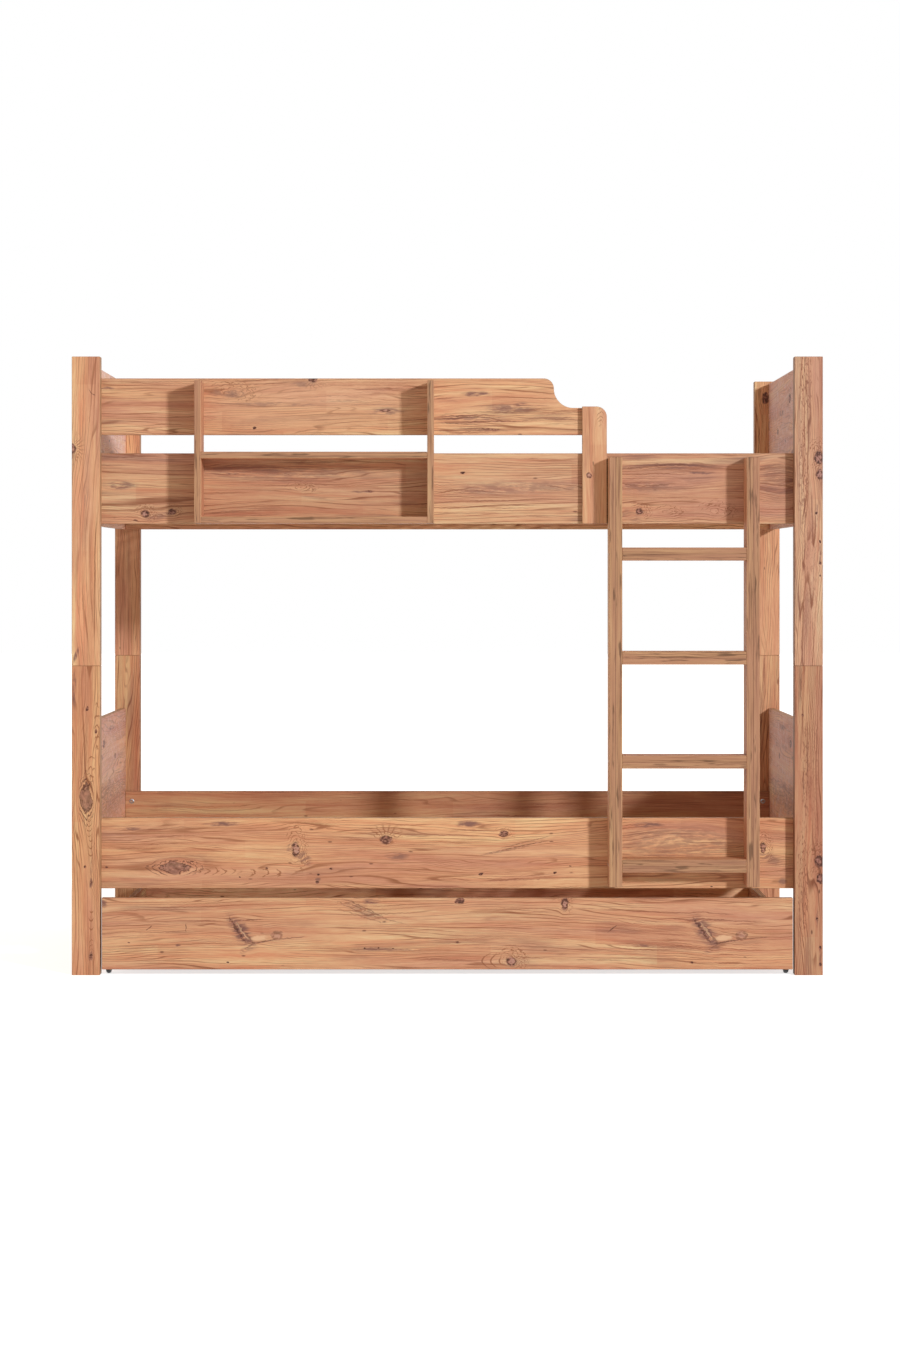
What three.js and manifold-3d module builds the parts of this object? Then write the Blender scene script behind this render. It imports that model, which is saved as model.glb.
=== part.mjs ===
// Bunk bed of pine-decor boards: two beds stacked on pins, a guard board that carries a small shelf unit,
// a fixed ladder and a wide trundle drawer that rolls out on castors.
// Millimetres. X runs along the bed, Y from the front to the back, Z up. The origin is on the floor,
// under the middle of the whole bed with its shelf unit.

import * as THREE from "three";
import { mergeVertices } from "three/addons/utils/BufferGeometryUtils.js";
import Module from "manifold-3d";

// Boards and joints
const BOARD = 18; // thickness of every single board
const EDGE_EASE = 1; // chamfer that takes the sharpness off a board's edges
const SEAT = 0.3; // what is left between two pieces that are fastened together
const HOLE_CLEARANCE = 0.3; // round a pin or bolt in its hole

// Beds
const INNER_LENGTH = 2008; // between the end panels
const INNER_WIDTH = 910; // between the rails
const POST_WIDTH = 78;
const POST_THICKNESS = 36;
const POST_HEIGHT = 855;
const PANEL_INSET = 16; // end panel's outer face behind the posts' outer faces
const PANEL_HEIGHT = 454;
const RAIL_HEIGHT = 196;
const LOWER_RAIL_RISE = 236; // rail's bottom edge above the lower posts' feet
const UPPER_RAIL_RISE = 393; // rail's bottom edge above the upper posts' feet

// Slatted bases
const LEDGE_WIDTH = 25;
const LEDGE_HEIGHT = 30;
const LEDGE_RISE = 20; // ledge's underside above the rail's bottom edge
const SLAT_COUNT = 28;
const SLAT_WIDTH = 38;
const SLAT_THICKNESS = 8;
const SLAT_END_GAP = 4; // between a slat's end and the rail
const SLAT_FIRST_GAP = 26; // between the end panel and the first slat
const TAPE_WIDTH = 20;
const TAPE_THICKNESS = 1.6;
const TAPE_BITE = 0.5; // how deep the stapled tape presses into a slat
const TAPE_SPREAD = 600; // between the two tapes

// Pins between the lower and the upper posts
const PIN_RADIUS = 5;
const PIN_LENGTH = 60;
const PIN_SIDES = 16;

// Guard board and its upright
const GUARD_HEIGHT = 157;
const GUARD_GAP = 51; // between the upper rail and the guard board
const GUARD_SHOULDER_RADIUS = 28; // convex part of the step at the guard board's end
const GUARD_NECK_RADIUS = 54; // concave part of the step
const GUARD_NECK_LENGTH = 92; // low flat end of the guard board
const GUARD_UPRIGHT_WIDTH = 68;
const GUARD_UPRIGHT_RISE = 3; // upright's top above the board's low end
const GUARD_END_CORNER = 29; // round top corner that the guard board and its upright share

// Shelf unit on the outside of the guard board
const SHELF_UNIT_WIDTH = 657;
const SHELF_UNIT_OFFSET = 310; // between the left end panel and the shelf unit
const SHELF_DEPTH = 100;
const SHELF_TOP_DROP = 12; // side's top edge below the guard board's

// Ladder
const LADDER_END_GAP = 101; // between the ladder and the right-hand post
const LADDER_GAP = 3; // between the guard upright and the ladder
const LADDER_WIDTH = 414;
const LADDER_DEPTH = 78;
const UPRIGHT_WIDTH = 36;
const LADDER_FOOT_RISE = 12; // uprights' feet above the lower rail's bottom edge
const LADDER_TOP_DROP = 14; // uprights' tops below the upper rail's top edge
const RUNG_COUNT = 4;
const RUNG_HEIGHT = 36;
const RUNG_FIRST_RISE = 40; // lowest rung's underside above the uprights' feet
const RUNG_PITCH = 286;
const BOLT_RADIUS = 3;
const BOLT_BITE = 45; // how far a bolt goes into the ladder upright
const BOLT_HEAD_RADIUS = 7;
const BOLT_HEAD_HEIGHT = 3.5;
const BOLT_SIDES = 12;

// Trundle drawer
const FRONT_END_GAP = 5; // between the drawer front and a post
const FRONT_HEIGHT = 198;
const FRONT_RISE = 16; // drawer front's bottom edge above the floor
const DRAWER_DEPTH = 911;
const DRAWER_SIDE_INSET = 6; // drawer side's outer face inside the front's end
const DRAWER_SIDE_HEIGHT = 100;
const BASE_THICKNESS = 16;
const BATTEN_WIDTH = 60;
const BATTEN_END_GAP = 20; // between the batten's ends and the front or back board

// Castors
const WHEEL_RADIUS = 20;
const WHEEL_WIDTH = 16;
const WHEEL_TREAD_CROWN = 5; // how much smaller the tread is at its edges
const WHEEL_RIM = 8; // height of the rim round the dished side
const WHEEL_DISH = 2; // depth of the dished side
const WHEEL_HUB_RADIUS = 7;
const WHEEL_SIDES = 24;
const AXLE_RADIUS = 3;
const AXLE_HEAD_RADIUS = 5;
const AXLE_HEAD_HEIGHT = 2;
const AXLE_SIDES = 12;
const CHEEK_THICKNESS = 2.5;
const CHEEK_GAP = 1; // between the wheel and a cheek
const CHEEK_TOP_WIDTH = 32;
const CHEEK_FOOT_RADIUS = 7.5;
const PLATE_LENGTH = 42;
const PLATE_WIDTH = 28;
const PLATE_THICKNESS = 2.5;
const PLATE_CORNER = 4;
const PLATE_CLEARANCE = 7; // between the wheel and the plate
const SCREW_HOLE_RADIUS = 2.2;
const SCREW_HOLE_INSET = 5; // from the plate's end to the hole's centre
const CASTOR_FRONT_GAP = 2; // between the drawer front and the front castor's plate
const CASTOR_BACK_GAP = 10; // between the drawer's back end and the rear castor's plate

// Where the main faces lie, from the front faces of the posts and the middle of the length
const panelInner = INNER_LENGTH / 2;
const panelOuter = panelInner + BOARD;
const postOuter = panelOuter + PANEL_INSET;
const postInner = postOuter - POST_WIDTH;
const railFront = POST_THICKNESS + SEAT;
const railBack = railFront + BOARD;
const bedDepth = 2 * railBack + INNER_WIDTH;
const upperFloor = POST_HEIGHT + SEAT; // feet of the upper posts
const upperRailBottom = upperFloor + UPPER_RAIL_RISE;
const upperRailTop = upperRailBottom + RAIL_HEIGHT;
const guardBottom = upperRailTop + GUARD_GAP;
const guardTop = guardBottom + GUARD_HEIGHT;
const guardNeckTop = guardTop - GUARD_SHOULDER_RADIUS - GUARD_NECK_RADIUS;
const ladderRight = postInner - LADDER_END_GAP;
const ladderLeft = ladderRight - LADDER_WIDTH;
const guardLeft = -panelInner + SEAT;
const guardRight = ladderLeft - LADDER_GAP;
const fittedBack = POST_THICKNESS; // back of all that is screwed to the rails' outer faces
const shelfFront = fittedBack - SHELF_DEPTH;

// Finishes
const finish = (color, roughness, metalness = 0) => new THREE.MeshStandardMaterial({ color, roughness, metalness });
const PINE = finish(0xcb9470, 0.55);
const PINE_EDGE = finish(0xb2866a, 0.6);
const SLAT_WOOD = finish(0xd9bf94, 0.7);
const STEEL = finish(0xb4b6b8, 0.35, 1);
const BLACK_PLASTIC = finish(0x161617, 0.5);

const wasm = await Module();
wasm.setup();

// A closed geometry as a solid that can be cut and joined.
function solidOf(geometry) {
  const bare = new THREE.BufferGeometry();
  bare.setAttribute("position", geometry.getAttribute("position"));
  bare.setIndex(geometry.index);
  const merged = mergeVertices(bare, 1e-3);
  const vertProperties = new Float32Array(merged.attributes.position.array);
  const triVerts = new Uint32Array(merged.index.array);
  return new wasm.Manifold(new wasm.Mesh({ numProp: 3, vertProperties, triVerts }));
}

// A solid as a geometry with flat faces.
function geometryOf(solid) {
  const { vertProperties, triVerts } = solid.getMesh();
  const shared = new THREE.BufferGeometry();
  shared.setAttribute("position", new THREE.BufferAttribute(vertProperties, 3));
  shared.setIndex(new THREE.BufferAttribute(triVerts, 1));
  const flat = shared.toNonIndexed();
  flat.computeVertexNormals();
  return flat;
}

const cut = (geometry, ...tools) =>
  geometryOf(tools.reduce((solid, tool) => solid.subtract(solidOf(tool)), solidOf(geometry)));

const join = (...pieces) => geometryOf(pieces.map(solidOf).reduce((whole, piece) => whole.add(piece)));

function meshOf(name, geometry, material, x = 0, y = 0, z = 0) {
  const mesh = new THREE.Mesh(geometry, material);
  mesh.name = name;
  mesh.position.set(x, y, z);
  return mesh;
}

// An outline cut from a board of the given thickness, with eased edges, centred through its thickness.
function easedPlate(outline, thickness, ease = EDGE_EASE) {
  const geometry = new THREE.ExtrudeGeometry(outline, {
    depth: thickness - 2 * ease,
    bevelThickness: ease,
    bevelSize: ease,
    bevelOffset: -ease,
    bevelSegments: 1,
    curveSegments: 10,
  });
  return geometry.translate(0, 0, ease - thickness / 2);
}

function chamferedRectangle(width, height, chamfer = EDGE_EASE) {
  const [u, v] = [width / 2, height / 2];
  const corners = [
    [chamfer - u, -v],
    [u - chamfer, -v],
    [u, chamfer - v],
    [u, v - chamfer],
    [u - chamfer, v],
    [chamfer - u, v],
    [-u, v - chamfer],
    [-u, chamfer - v],
  ];
  return new THREE.Shape(corners.map(([x, y]) => new THREE.Vector2(x, y)));
}

const AXES = { x: new THREE.Vector3(1, 0, 0), y: new THREE.Vector3(0, 1, 0), z: new THREE.Vector3(0, 0, 1) };

// Turns a plate drawn in its own X and Y so that its width, height and thickness lie along the axes named.
function turned(geometry, widthAxis, heightAxis) {
  const through = new THREE.Vector3().crossVectors(AXES[widthAxis], AXES[heightAxis]);
  return geometry.applyMatrix4(new THREE.Matrix4().makeBasis(AXES[widthAxis], AXES[heightAxis], through));
}

// A square-cut board between two opposite corners. Its thickness is its smallest size.
function boardGeometry(low, high) {
  const size = { x: high[0] - low[0], y: high[1] - low[1], z: high[2] - low[2] };
  const thin = Object.keys(size).reduce((a, b) => (size[b] < size[a] ? b : a));
  const [across, up] = { x: ["y", "z"], y: ["x", "z"], z: ["x", "y"] }[thin];
  return turned(easedPlate(chamferedRectangle(size[across], size[up]), size[thin]), across, up);
}

const middle = (low, high) => low.map((value, i) => (value + high[i]) / 2);

function board(name, low, high, material = PINE) {
  return meshOf(name, boardGeometry(low, high), material, ...middle(low, high));
}

// A faceted rod along Z whose lower end is at the origin.
function rod(radius, length, sides) {
  return new THREE.CylinderGeometry(radius, radius, length, sides).rotateX(Math.PI / 2).translate(0, 0, length / 2);
}

// Posts, pinned end to end

const pinHoleDepth = PIN_LENGTH / 2 + HOLE_CLEARANCE;
const pinHole = () => rod(PIN_RADIUS + HOLE_CLEARANCE, pinHoleDepth + 1, PIN_SIDES);

function postGeometry(pinnedAtTop) {
  const low = [0, 0, 0];
  const high = [POST_WIDTH, POST_THICKNESS, POST_HEIGHT];
  const holeBottom = pinnedAtTop ? POST_HEIGHT / 2 - pinHoleDepth : -POST_HEIGHT / 2 - 1;
  return cut(boardGeometry(low, high), pinHole().translate(0, 0, holeBottom));
}

const CORNERS = [
  { corner: "front_left", x: -(postInner + POST_WIDTH / 2), y: POST_THICKNESS / 2 },
  { corner: "front_right", x: postInner + POST_WIDTH / 2, y: POST_THICKNESS / 2 },
  { corner: "back_left", x: -(postInner + POST_WIDTH / 2), y: bedDepth - POST_THICKNESS / 2 },
  { corner: "back_right", x: postInner + POST_WIDTH / 2, y: bedDepth - POST_THICKNESS / 2 },
];

function postPin(corner, x, y) {
  const ease = EDGE_EASE;
  const half = PIN_LENGTH / 2;
  const profile = [
    [0, -half],
    [PIN_RADIUS - ease, -half],
    [PIN_RADIUS, ease - half],
    [PIN_RADIUS, half - ease],
    [PIN_RADIUS - ease, half],
    [0, half],
  ];
  const geometry = latheAlongZ(profile, PIN_SIDES);
  return meshOf(`post_pin_${corner}`, geometry, STEEL, x, y, POST_HEIGHT + SEAT / 2);
}

// A turned piece whose profile is given as radius and height.
function latheAlongZ(profile, sides) {
  const points = profile.map(([radius, height]) => new THREE.Vector2(radius, height));
  return new THREE.LatheGeometry(points, sides).rotateX(Math.PI / 2);
}

// Slatted base: sprung slats stapled to two webbing tapes under them, rolled out over the ledges

const slatPitch = (INNER_LENGTH - 2 * SLAT_FIRST_GAP - SLAT_WIDTH) / (SLAT_COUNT - 1);
const slatLength = INNER_WIDTH - 2 * SLAT_END_GAP;

function slatRoll(name, slatBottom) {
  const pieces = [];
  for (let i = 0; i < SLAT_COUNT; i++) {
    const slat = new THREE.BoxGeometry(SLAT_WIDTH, slatLength, SLAT_THICKNESS);
    pieces.push(slat.translate((i - (SLAT_COUNT - 1) / 2) * slatPitch, 0, SLAT_THICKNESS / 2));
  }
  const tapeLength = (SLAT_COUNT - 1) * slatPitch + SLAT_WIDTH / 2;
  for (const side of [-1, 1]) {
    const tape = new THREE.BoxGeometry(tapeLength, TAPE_WIDTH, TAPE_THICKNESS);
    pieces.push(tape.translate(0, (side * TAPE_SPREAD) / 2, TAPE_BITE - TAPE_THICKNESS / 2));
  }
  return meshOf(name, join(...pieces), SLAT_WOOD, 0, bedDepth / 2, slatBottom);
}

// Places of the ladder's uprights, which the front rails share, because the ladder is bolted through them

const ladderFoot = LOWER_RAIL_RISE + LADDER_FOOT_RISE;
const ladderTop = upperRailTop - LADDER_TOP_DROP;
const UPRIGHTS = [
  { side: "left", x: ladderLeft + UPRIGHT_WIDTH / 2 },
  { side: "right", x: ladderRight - UPRIGHT_WIDTH / 2 },
];
const boltHole = (depth) => rod(BOLT_RADIUS + HOLE_CLEARANCE, depth, BOLT_SIDES).rotateX(Math.PI / 2);

// One bed: posts, end panels, rails, ledges and slats, from the feet of its posts up

function bedTier(tier, railBottom, pinnedAtTop) {
  const group = new THREE.Group();
  const railTop = railBottom + RAIL_HEIGHT;

  const post = postGeometry(pinnedAtTop);
  for (const { corner, x, y } of CORNERS) {
    group.add(meshOf(`${tier}_post_${corner}`, post, PINE, x, y, POST_HEIGHT / 2));
  }

  const panelEnds = [railFront, bedDepth - railFront];
  const panelTop = railBottom + PANEL_HEIGHT;
  group.add(
    board(`${tier}_end_panel_left`, [-panelOuter, panelEnds[0], railBottom], [-panelInner, panelEnds[1], panelTop]),
    board(`${tier}_end_panel_right`, [panelInner, panelEnds[0], railBottom], [panelOuter, panelEnds[1], panelTop]),
  );

  const railEnd = panelInner - SEAT;
  const railMiddle = railBottom + RAIL_HEIGHT / 2;
  const frontRail = cut(
    boardGeometry([-railEnd, railFront, railBottom], [railEnd, railBack, railTop]),
    ...UPRIGHTS.map(({ x }) => boltHole(2 * BOARD).translate(x, BOARD, 0)),
  );
  group.add(
    meshOf(`${tier}_rail_front`, frontRail, PINE, 0, (railFront + railBack) / 2, railMiddle),
    board(`${tier}_rail_back`, [-railEnd, bedDepth - railBack, railBottom], [railEnd, bedDepth - railFront, railTop]),
  );

  const ledgeEnd = railEnd - SEAT;
  const ledgeFront = railBack + SEAT;
  const ledgeBack = ledgeFront + LEDGE_WIDTH;
  const ledgeBottom = railBottom + LEDGE_RISE;
  const ledgeTop = ledgeBottom + LEDGE_HEIGHT;
  group.add(
    board(`${tier}_ledge_front`, [-ledgeEnd, ledgeFront, ledgeBottom], [ledgeEnd, ledgeBack, ledgeTop], SLAT_WOOD),
    board(
      `${tier}_ledge_back`,
      [-ledgeEnd, bedDepth - ledgeBack, ledgeBottom],
      [ledgeEnd, bedDepth - ledgeFront, ledgeTop],
      SLAT_WOOD,
    ),
    slatRoll(`${tier}_slat_roll`, ledgeTop + SEAT),
  );
  return group;
}

// Guard board with its curved step, and the upright that ties it to the rail

function guard() {
  const group = new THREE.Group();
  const stepLeft = guardRight - GUARD_NECK_LENGTH - GUARD_NECK_RADIUS - GUARD_SHOULDER_RADIUS;
  const neckLeft = guardRight - GUARD_NECK_LENGTH;
  const uprightTop = guardNeckTop + GUARD_UPRIGHT_RISE;
  const endCorner = (outline, top) =>
    outline.absarc(guardRight - GUARD_END_CORNER, top - GUARD_END_CORNER, GUARD_END_CORNER, 0, Math.PI / 2);
  const outline = new THREE.Shape();
  outline.moveTo(guardLeft, guardBottom);
  outline.lineTo(guardRight, guardBottom);
  endCorner(outline, guardNeckTop);
  outline.lineTo(neckLeft, guardNeckTop);
  outline.absarc(neckLeft, guardNeckTop + GUARD_NECK_RADIUS, GUARD_NECK_RADIUS, -Math.PI / 2, Math.PI, true);
  outline.absarc(stepLeft, guardTop - GUARD_SHOULDER_RADIUS, GUARD_SHOULDER_RADIUS, 0, Math.PI / 2, false);
  outline.lineTo(guardLeft, guardTop);
  const guardBoard = turned(easedPlate(outline, BOARD), "x", "z");
  group.add(meshOf("guard_board", guardBoard, PINE, 0, railFront + BOARD / 2, 0));

  const uprightLeft = guardRight - GUARD_UPRIGHT_WIDTH;
  const uprightOutline = new THREE.Shape();
  uprightOutline.moveTo(uprightLeft, upperRailBottom);
  uprightOutline.lineTo(guardRight, upperRailBottom);
  endCorner(uprightOutline, uprightTop);
  uprightOutline.lineTo(uprightLeft, uprightTop);
  const upright = turned(easedPlate(uprightOutline, BOARD), "x", "z");
  group.add(meshOf("guard_upright", upright, PINE, 0, fittedBack - BOARD / 2, 0));
  return group;
}

// Shelf unit: two sides and two shelves between them, open at the back against the rail and the guard board

function shelfUnit() {
  const group = new THREE.Group();
  const left = -panelInner + SHELF_UNIT_OFFSET;
  const right = left + SHELF_UNIT_WIDTH;
  const top = guardTop - SHELF_TOP_DROP;
  const side = (name, x) => board(name, [x, shelfFront, upperRailBottom], [x + BOARD, fittedBack, top]);
  const shelf = (name, topFace) =>
    board(name, [left + BOARD + SEAT, shelfFront, topFace - BOARD], [right - BOARD - SEAT, fittedBack, topFace]);
  group.add(
    side("shelf_side_left", left),
    side("shelf_side_right", right - BOARD),
    shelf("shelf_top", upperRailTop),
    shelf("shelf_bottom", upperRailBottom + BOARD),
  );
  return group;
}

// Ladder of doubled boards, bolted through both front rails

function ladderBolt(name, x, z) {
  const shank = BOARD + SEAT + BOLT_BITE;
  const profile = [
    [0, -shank - SEAT],
    [BOLT_RADIUS, -shank - SEAT],
    [BOLT_RADIUS, 0],
    [BOLT_HEAD_RADIUS, 0],
    [BOLT_HEAD_RADIUS, BOLT_HEAD_HEIGHT / 2],
    [BOLT_HEAD_RADIUS / 2, BOLT_HEAD_HEIGHT],
    [0, BOLT_HEAD_HEIGHT],
  ];
  const geometry = latheAlongZ(profile, BOLT_SIDES).rotateX(-Math.PI / 2);
  return meshOf(name, geometry, STEEL, x, railBack + SEAT, z);
}

function ladder() {
  const group = new THREE.Group();
  const front = fittedBack - LADDER_DEPTH;
  const boltHeights = { lower: LOWER_RAIL_RISE + RAIL_HEIGHT / 2, upper: upperRailBottom + RAIL_HEIGHT / 2 };
  const uprightMiddle = middle([0, front, ladderFoot], [0, fittedBack, ladderTop]);
  const uprightBlank = boardGeometry([0, front, ladderFoot], [UPRIGHT_WIDTH, fittedBack, ladderTop]);
  const holeDepth = BOLT_BITE + HOLE_CLEARANCE + 1;
  const holes = Object.values(boltHeights).map((z) =>
    boltHole(holeDepth).translate(0, LADDER_DEPTH / 2 + 1, z - uprightMiddle[2]),
  );
  const uprightGeometry = cut(uprightBlank, ...holes);
  for (const { side, x } of UPRIGHTS) {
    group.add(meshOf(`ladder_upright_${side}`, uprightGeometry, PINE_EDGE, x, uprightMiddle[1], uprightMiddle[2]));
    for (const [height, z] of Object.entries(boltHeights)) {
      group.add(ladderBolt(`ladder_bolt_${height}_${side}`, x, z));
    }
  }
  const rungLeft = ladderLeft + UPRIGHT_WIDTH + SEAT;
  const rungRight = ladderRight - UPRIGHT_WIDTH - SEAT;
  for (let i = 0; i < RUNG_COUNT; i++) {
    const bottom = ladderFoot + RUNG_FIRST_RISE + i * RUNG_PITCH;
    const rungTop = bottom + RUNG_HEIGHT;
    group.add(board(`ladder_rung_${i + 1}`, [rungLeft, front, bottom], [rungRight, fittedBack, rungTop], PINE_EDGE));
  }
  return group;
}

// Castors: a pressed fork, a crowned wheel and a riveted axle

const plateTop = 2 * WHEEL_RADIUS + PLATE_CLEARANCE + PLATE_THICKNESS; // above the floor
const drawerFloor = plateTop + SEAT; // undersides of the drawer's sides, back and base
const cheekInner = WHEEL_WIDTH / 2 + CHEEK_GAP;
const cheekOuter = cheekInner + CHEEK_THICKNESS;
const axleHole = AXLE_RADIUS + HOLE_CLEARANCE;

function roundHole(x, y, radius) {
  const hole = new THREE.Path();
  hole.absarc(x, y, radius, 0, 2 * Math.PI, true);
  return hole;
}

// One cheek in the castor's side view: wide at the plate, round about the axle at the origin.
function cheekGeometry() {
  const top = plateTop - WHEEL_RADIUS - PLATE_THICKNESS / 2;
  const half = CHEEK_TOP_WIDTH / 2;
  const lean = Math.atan2(half - CHEEK_FOOT_RADIUS, top);
  const outline = new THREE.Shape();
  outline.moveTo(half, top);
  outline.lineTo(-half, top);
  outline.absarc(0, 0, CHEEK_FOOT_RADIUS, Math.PI + lean, -lean, false);
  outline.holes.push(roundHole(0, 0, axleHole));
  const cheek = new THREE.ExtrudeGeometry(outline, {
    depth: CHEEK_THICKNESS,
    bevelEnabled: false,
    curveSegments: 6,
  });
  return turned(cheek, "y", "z");
}

function plateGeometry() {
  const [u, v] = [PLATE_WIDTH / 2 - PLATE_CORNER, PLATE_LENGTH / 2 - PLATE_CORNER];
  const outline = new THREE.Shape();
  outline.absarc(u, v, PLATE_CORNER, 0, Math.PI / 2, false);
  outline.absarc(-u, v, PLATE_CORNER, Math.PI / 2, Math.PI, false);
  outline.absarc(-u, -v, PLATE_CORNER, Math.PI, 1.5 * Math.PI, false);
  outline.absarc(u, -v, PLATE_CORNER, 1.5 * Math.PI, 2 * Math.PI, false);
  const holeAt = PLATE_LENGTH / 2 - SCREW_HOLE_INSET;
  outline.holes.push(roundHole(0, holeAt, SCREW_HOLE_RADIUS), roundHole(0, -holeAt, SCREW_HOLE_RADIUS));
  const plate = new THREE.ExtrudeGeometry(outline, {
    depth: PLATE_THICKNESS,
    bevelEnabled: false,
    curveSegments: 4,
  });
  return plate.translate(0, 0, plateTop - WHEEL_RADIUS - PLATE_THICKNESS);
}

function wheelGeometry() {
  const half = WHEEL_WIDTH / 2;
  const rimRadius = WHEEL_RADIUS - WHEEL_RIM;
  const side = [
    [axleHole, half],
    [WHEEL_HUB_RADIUS, half],
    [WHEEL_HUB_RADIUS + WHEEL_DISH / 2, half - WHEEL_DISH],
    [rimRadius - WHEEL_DISH / 2, half - WHEEL_DISH],
    [rimRadius, half - WHEEL_DISH / 2],
    [WHEEL_RADIUS - WHEEL_TREAD_CROWN, half - WHEEL_DISH / 2],
    [WHEEL_RADIUS - WHEEL_TREAD_CROWN / 4, half / 2],
  ];
  const otherSide = side.map(([radius, across]) => [radius, -across]).reverse();
  const profile = [...side, [WHEEL_RADIUS, 0], ...otherSide, side[0]];
  return latheAlongZ(profile.reverse(), WHEEL_SIDES).rotateY(Math.PI / 2);
}

function axleGeometry() {
  const neck = cheekOuter + SEAT;
  const end = neck + AXLE_HEAD_HEIGHT;
  const half = [
    [AXLE_RADIUS, neck],
    [AXLE_HEAD_RADIUS, neck],
    [AXLE_HEAD_RADIUS / 2, end],
    [0, end],
  ];
  const otherHalf = half.map(([radius, across]) => [radius, -across]).reverse();
  return latheAlongZ([...otherHalf, ...half], AXLE_SIDES).rotateY(Math.PI / 2);
}

const castorGeometry = {
  fork: join(plateGeometry(), cheekGeometry().translate(cheekInner, 0, 0), cheekGeometry().translate(-cheekOuter, 0, 0)),
  wheel: wheelGeometry(),
  axle: axleGeometry(),
};

function castor(corner, x, y) {
  const group = new THREE.Group();
  group.position.set(x, y, WHEEL_RADIUS);
  group.add(
    meshOf(`castor_fork_${corner}`, castorGeometry.fork, BLACK_PLASTIC),
    meshOf(`castor_wheel_${corner}`, castorGeometry.wheel, BLACK_PLASTIC),
    meshOf(`castor_axle_${corner}`, castorGeometry.axle, STEEL),
  );
  return group;
}

// Trundle drawer: a tall front flush with the posts, a low box behind it, and a castor under each side's end

function trundle() {
  const group = new THREE.Group();
  const frontEnd = postInner - FRONT_END_GAP;
  const sideOuter = frontEnd - DRAWER_SIDE_INSET;
  const sideInner = sideOuter - BOARD;
  const sideTop = drawerFloor + DRAWER_SIDE_HEIGHT;
  const boxFront = BOARD + SEAT;
  const backFront = DRAWER_DEPTH - BOARD;
  const within = sideInner - SEAT;
  const batten = BATTEN_WIDTH / 2;
  group.add(
    board("trundle_front", [-frontEnd, 0, FRONT_RISE], [frontEnd, BOARD, FRONT_RISE + FRONT_HEIGHT]),
    board("trundle_side_left", [-sideOuter, boxFront, drawerFloor], [-sideInner, DRAWER_DEPTH, sideTop]),
    board("trundle_side_right", [sideInner, boxFront, drawerFloor], [sideOuter, DRAWER_DEPTH, sideTop]),
    board("trundle_back", [-within, backFront, drawerFloor], [within, DRAWER_DEPTH, sideTop]),
    board(
      "trundle_base",
      [-within, boxFront, drawerFloor],
      [within, backFront - SEAT, drawerFloor + BASE_THICKNESS],
    ),
    board(
      "trundle_batten",
      [-batten, boxFront + BATTEN_END_GAP, drawerFloor - SEAT - BOARD],
      [batten, DRAWER_DEPTH - BATTEN_END_GAP, drawerFloor - SEAT],
      SLAT_WOOD,
    ),
  );
  const castorX = (sideOuter + sideInner) / 2;
  const frontCastorY = boxFront + CASTOR_FRONT_GAP + PLATE_LENGTH / 2;
  const backCastorY = DRAWER_DEPTH - CASTOR_BACK_GAP - PLATE_LENGTH / 2;
  group.add(
    castor("front_left", -castorX, frontCastorY),
    castor("front_right", castorX, frontCastorY),
    castor("back_left", -castorX, backCastorY),
    castor("back_right", castorX, backCastorY),
  );
  return group;
}

// The whole bed

const bunkBed = new THREE.Group();
const lowerBed = bedTier("lower", LOWER_RAIL_RISE, true);
const upperBed = bedTier("upper", UPPER_RAIL_RISE, false);
upperBed.position.z = upperFloor;
const pins = CORNERS.map(({ corner, x, y }) => postPin(corner, x, y));
bunkBed.add(lowerBed, upperBed, ...pins, guard(), shelfUnit(), ladder(), trundle());
bunkBed.position.y = -(shelfFront + bedDepth) / 2;

export default bunkBed;
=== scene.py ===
# Looks of a pine-decor bunk bed with a ladder, a shelf unit and a trundle drawer.
# Everything is in metres in the bed's own frame: X along the bed, Y from front to back, Z up from the floor.

import math

import bmesh
import bpy
from mathutils import Euler, Matrix, Vector


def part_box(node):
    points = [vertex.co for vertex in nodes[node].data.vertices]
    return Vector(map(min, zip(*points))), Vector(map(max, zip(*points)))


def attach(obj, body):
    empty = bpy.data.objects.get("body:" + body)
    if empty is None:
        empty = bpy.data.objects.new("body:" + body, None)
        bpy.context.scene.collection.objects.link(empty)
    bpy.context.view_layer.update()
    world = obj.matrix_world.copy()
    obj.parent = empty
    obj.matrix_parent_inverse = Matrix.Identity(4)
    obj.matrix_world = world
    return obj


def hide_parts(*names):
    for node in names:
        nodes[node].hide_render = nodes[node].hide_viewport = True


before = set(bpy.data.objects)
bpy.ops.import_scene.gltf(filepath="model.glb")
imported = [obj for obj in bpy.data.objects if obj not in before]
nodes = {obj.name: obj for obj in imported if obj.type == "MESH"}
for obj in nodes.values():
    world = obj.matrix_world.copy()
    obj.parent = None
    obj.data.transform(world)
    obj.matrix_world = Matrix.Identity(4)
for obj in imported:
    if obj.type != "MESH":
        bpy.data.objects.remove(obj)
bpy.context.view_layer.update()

MM = 0.001
AXES = "xyz"
TIERS = ("lower", "upper")
INWARD = {"front": 1.0, "back": -1.0}
SIDEWAYS = {"left": -1.0, "right": 1.0}
CORNERS = ("front_left", "front_right", "back_left", "back_right")


def middle(node):
    """The middle of a CAD node's box."""
    low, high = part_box(node)
    return [(a + b) / 2 for a, b in zip(low, high)]


def put(name, data):
    """Adds an object to the scene."""
    made = bpy.data.objects.new(name, data)
    bpy.context.scene.collection.objects.link(made)
    return made


# Colours, given as they would be written on screen

def tone(*screen):
    """A screen colour from 0 to 255 as a linear RGBA value."""
    parts = [value / 255 for value in screen]
    return (*[part / 12.92 if part <= 0.04045 else ((part + 0.055) / 1.055) ** 2.4 for part in parts], 1.0)


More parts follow.
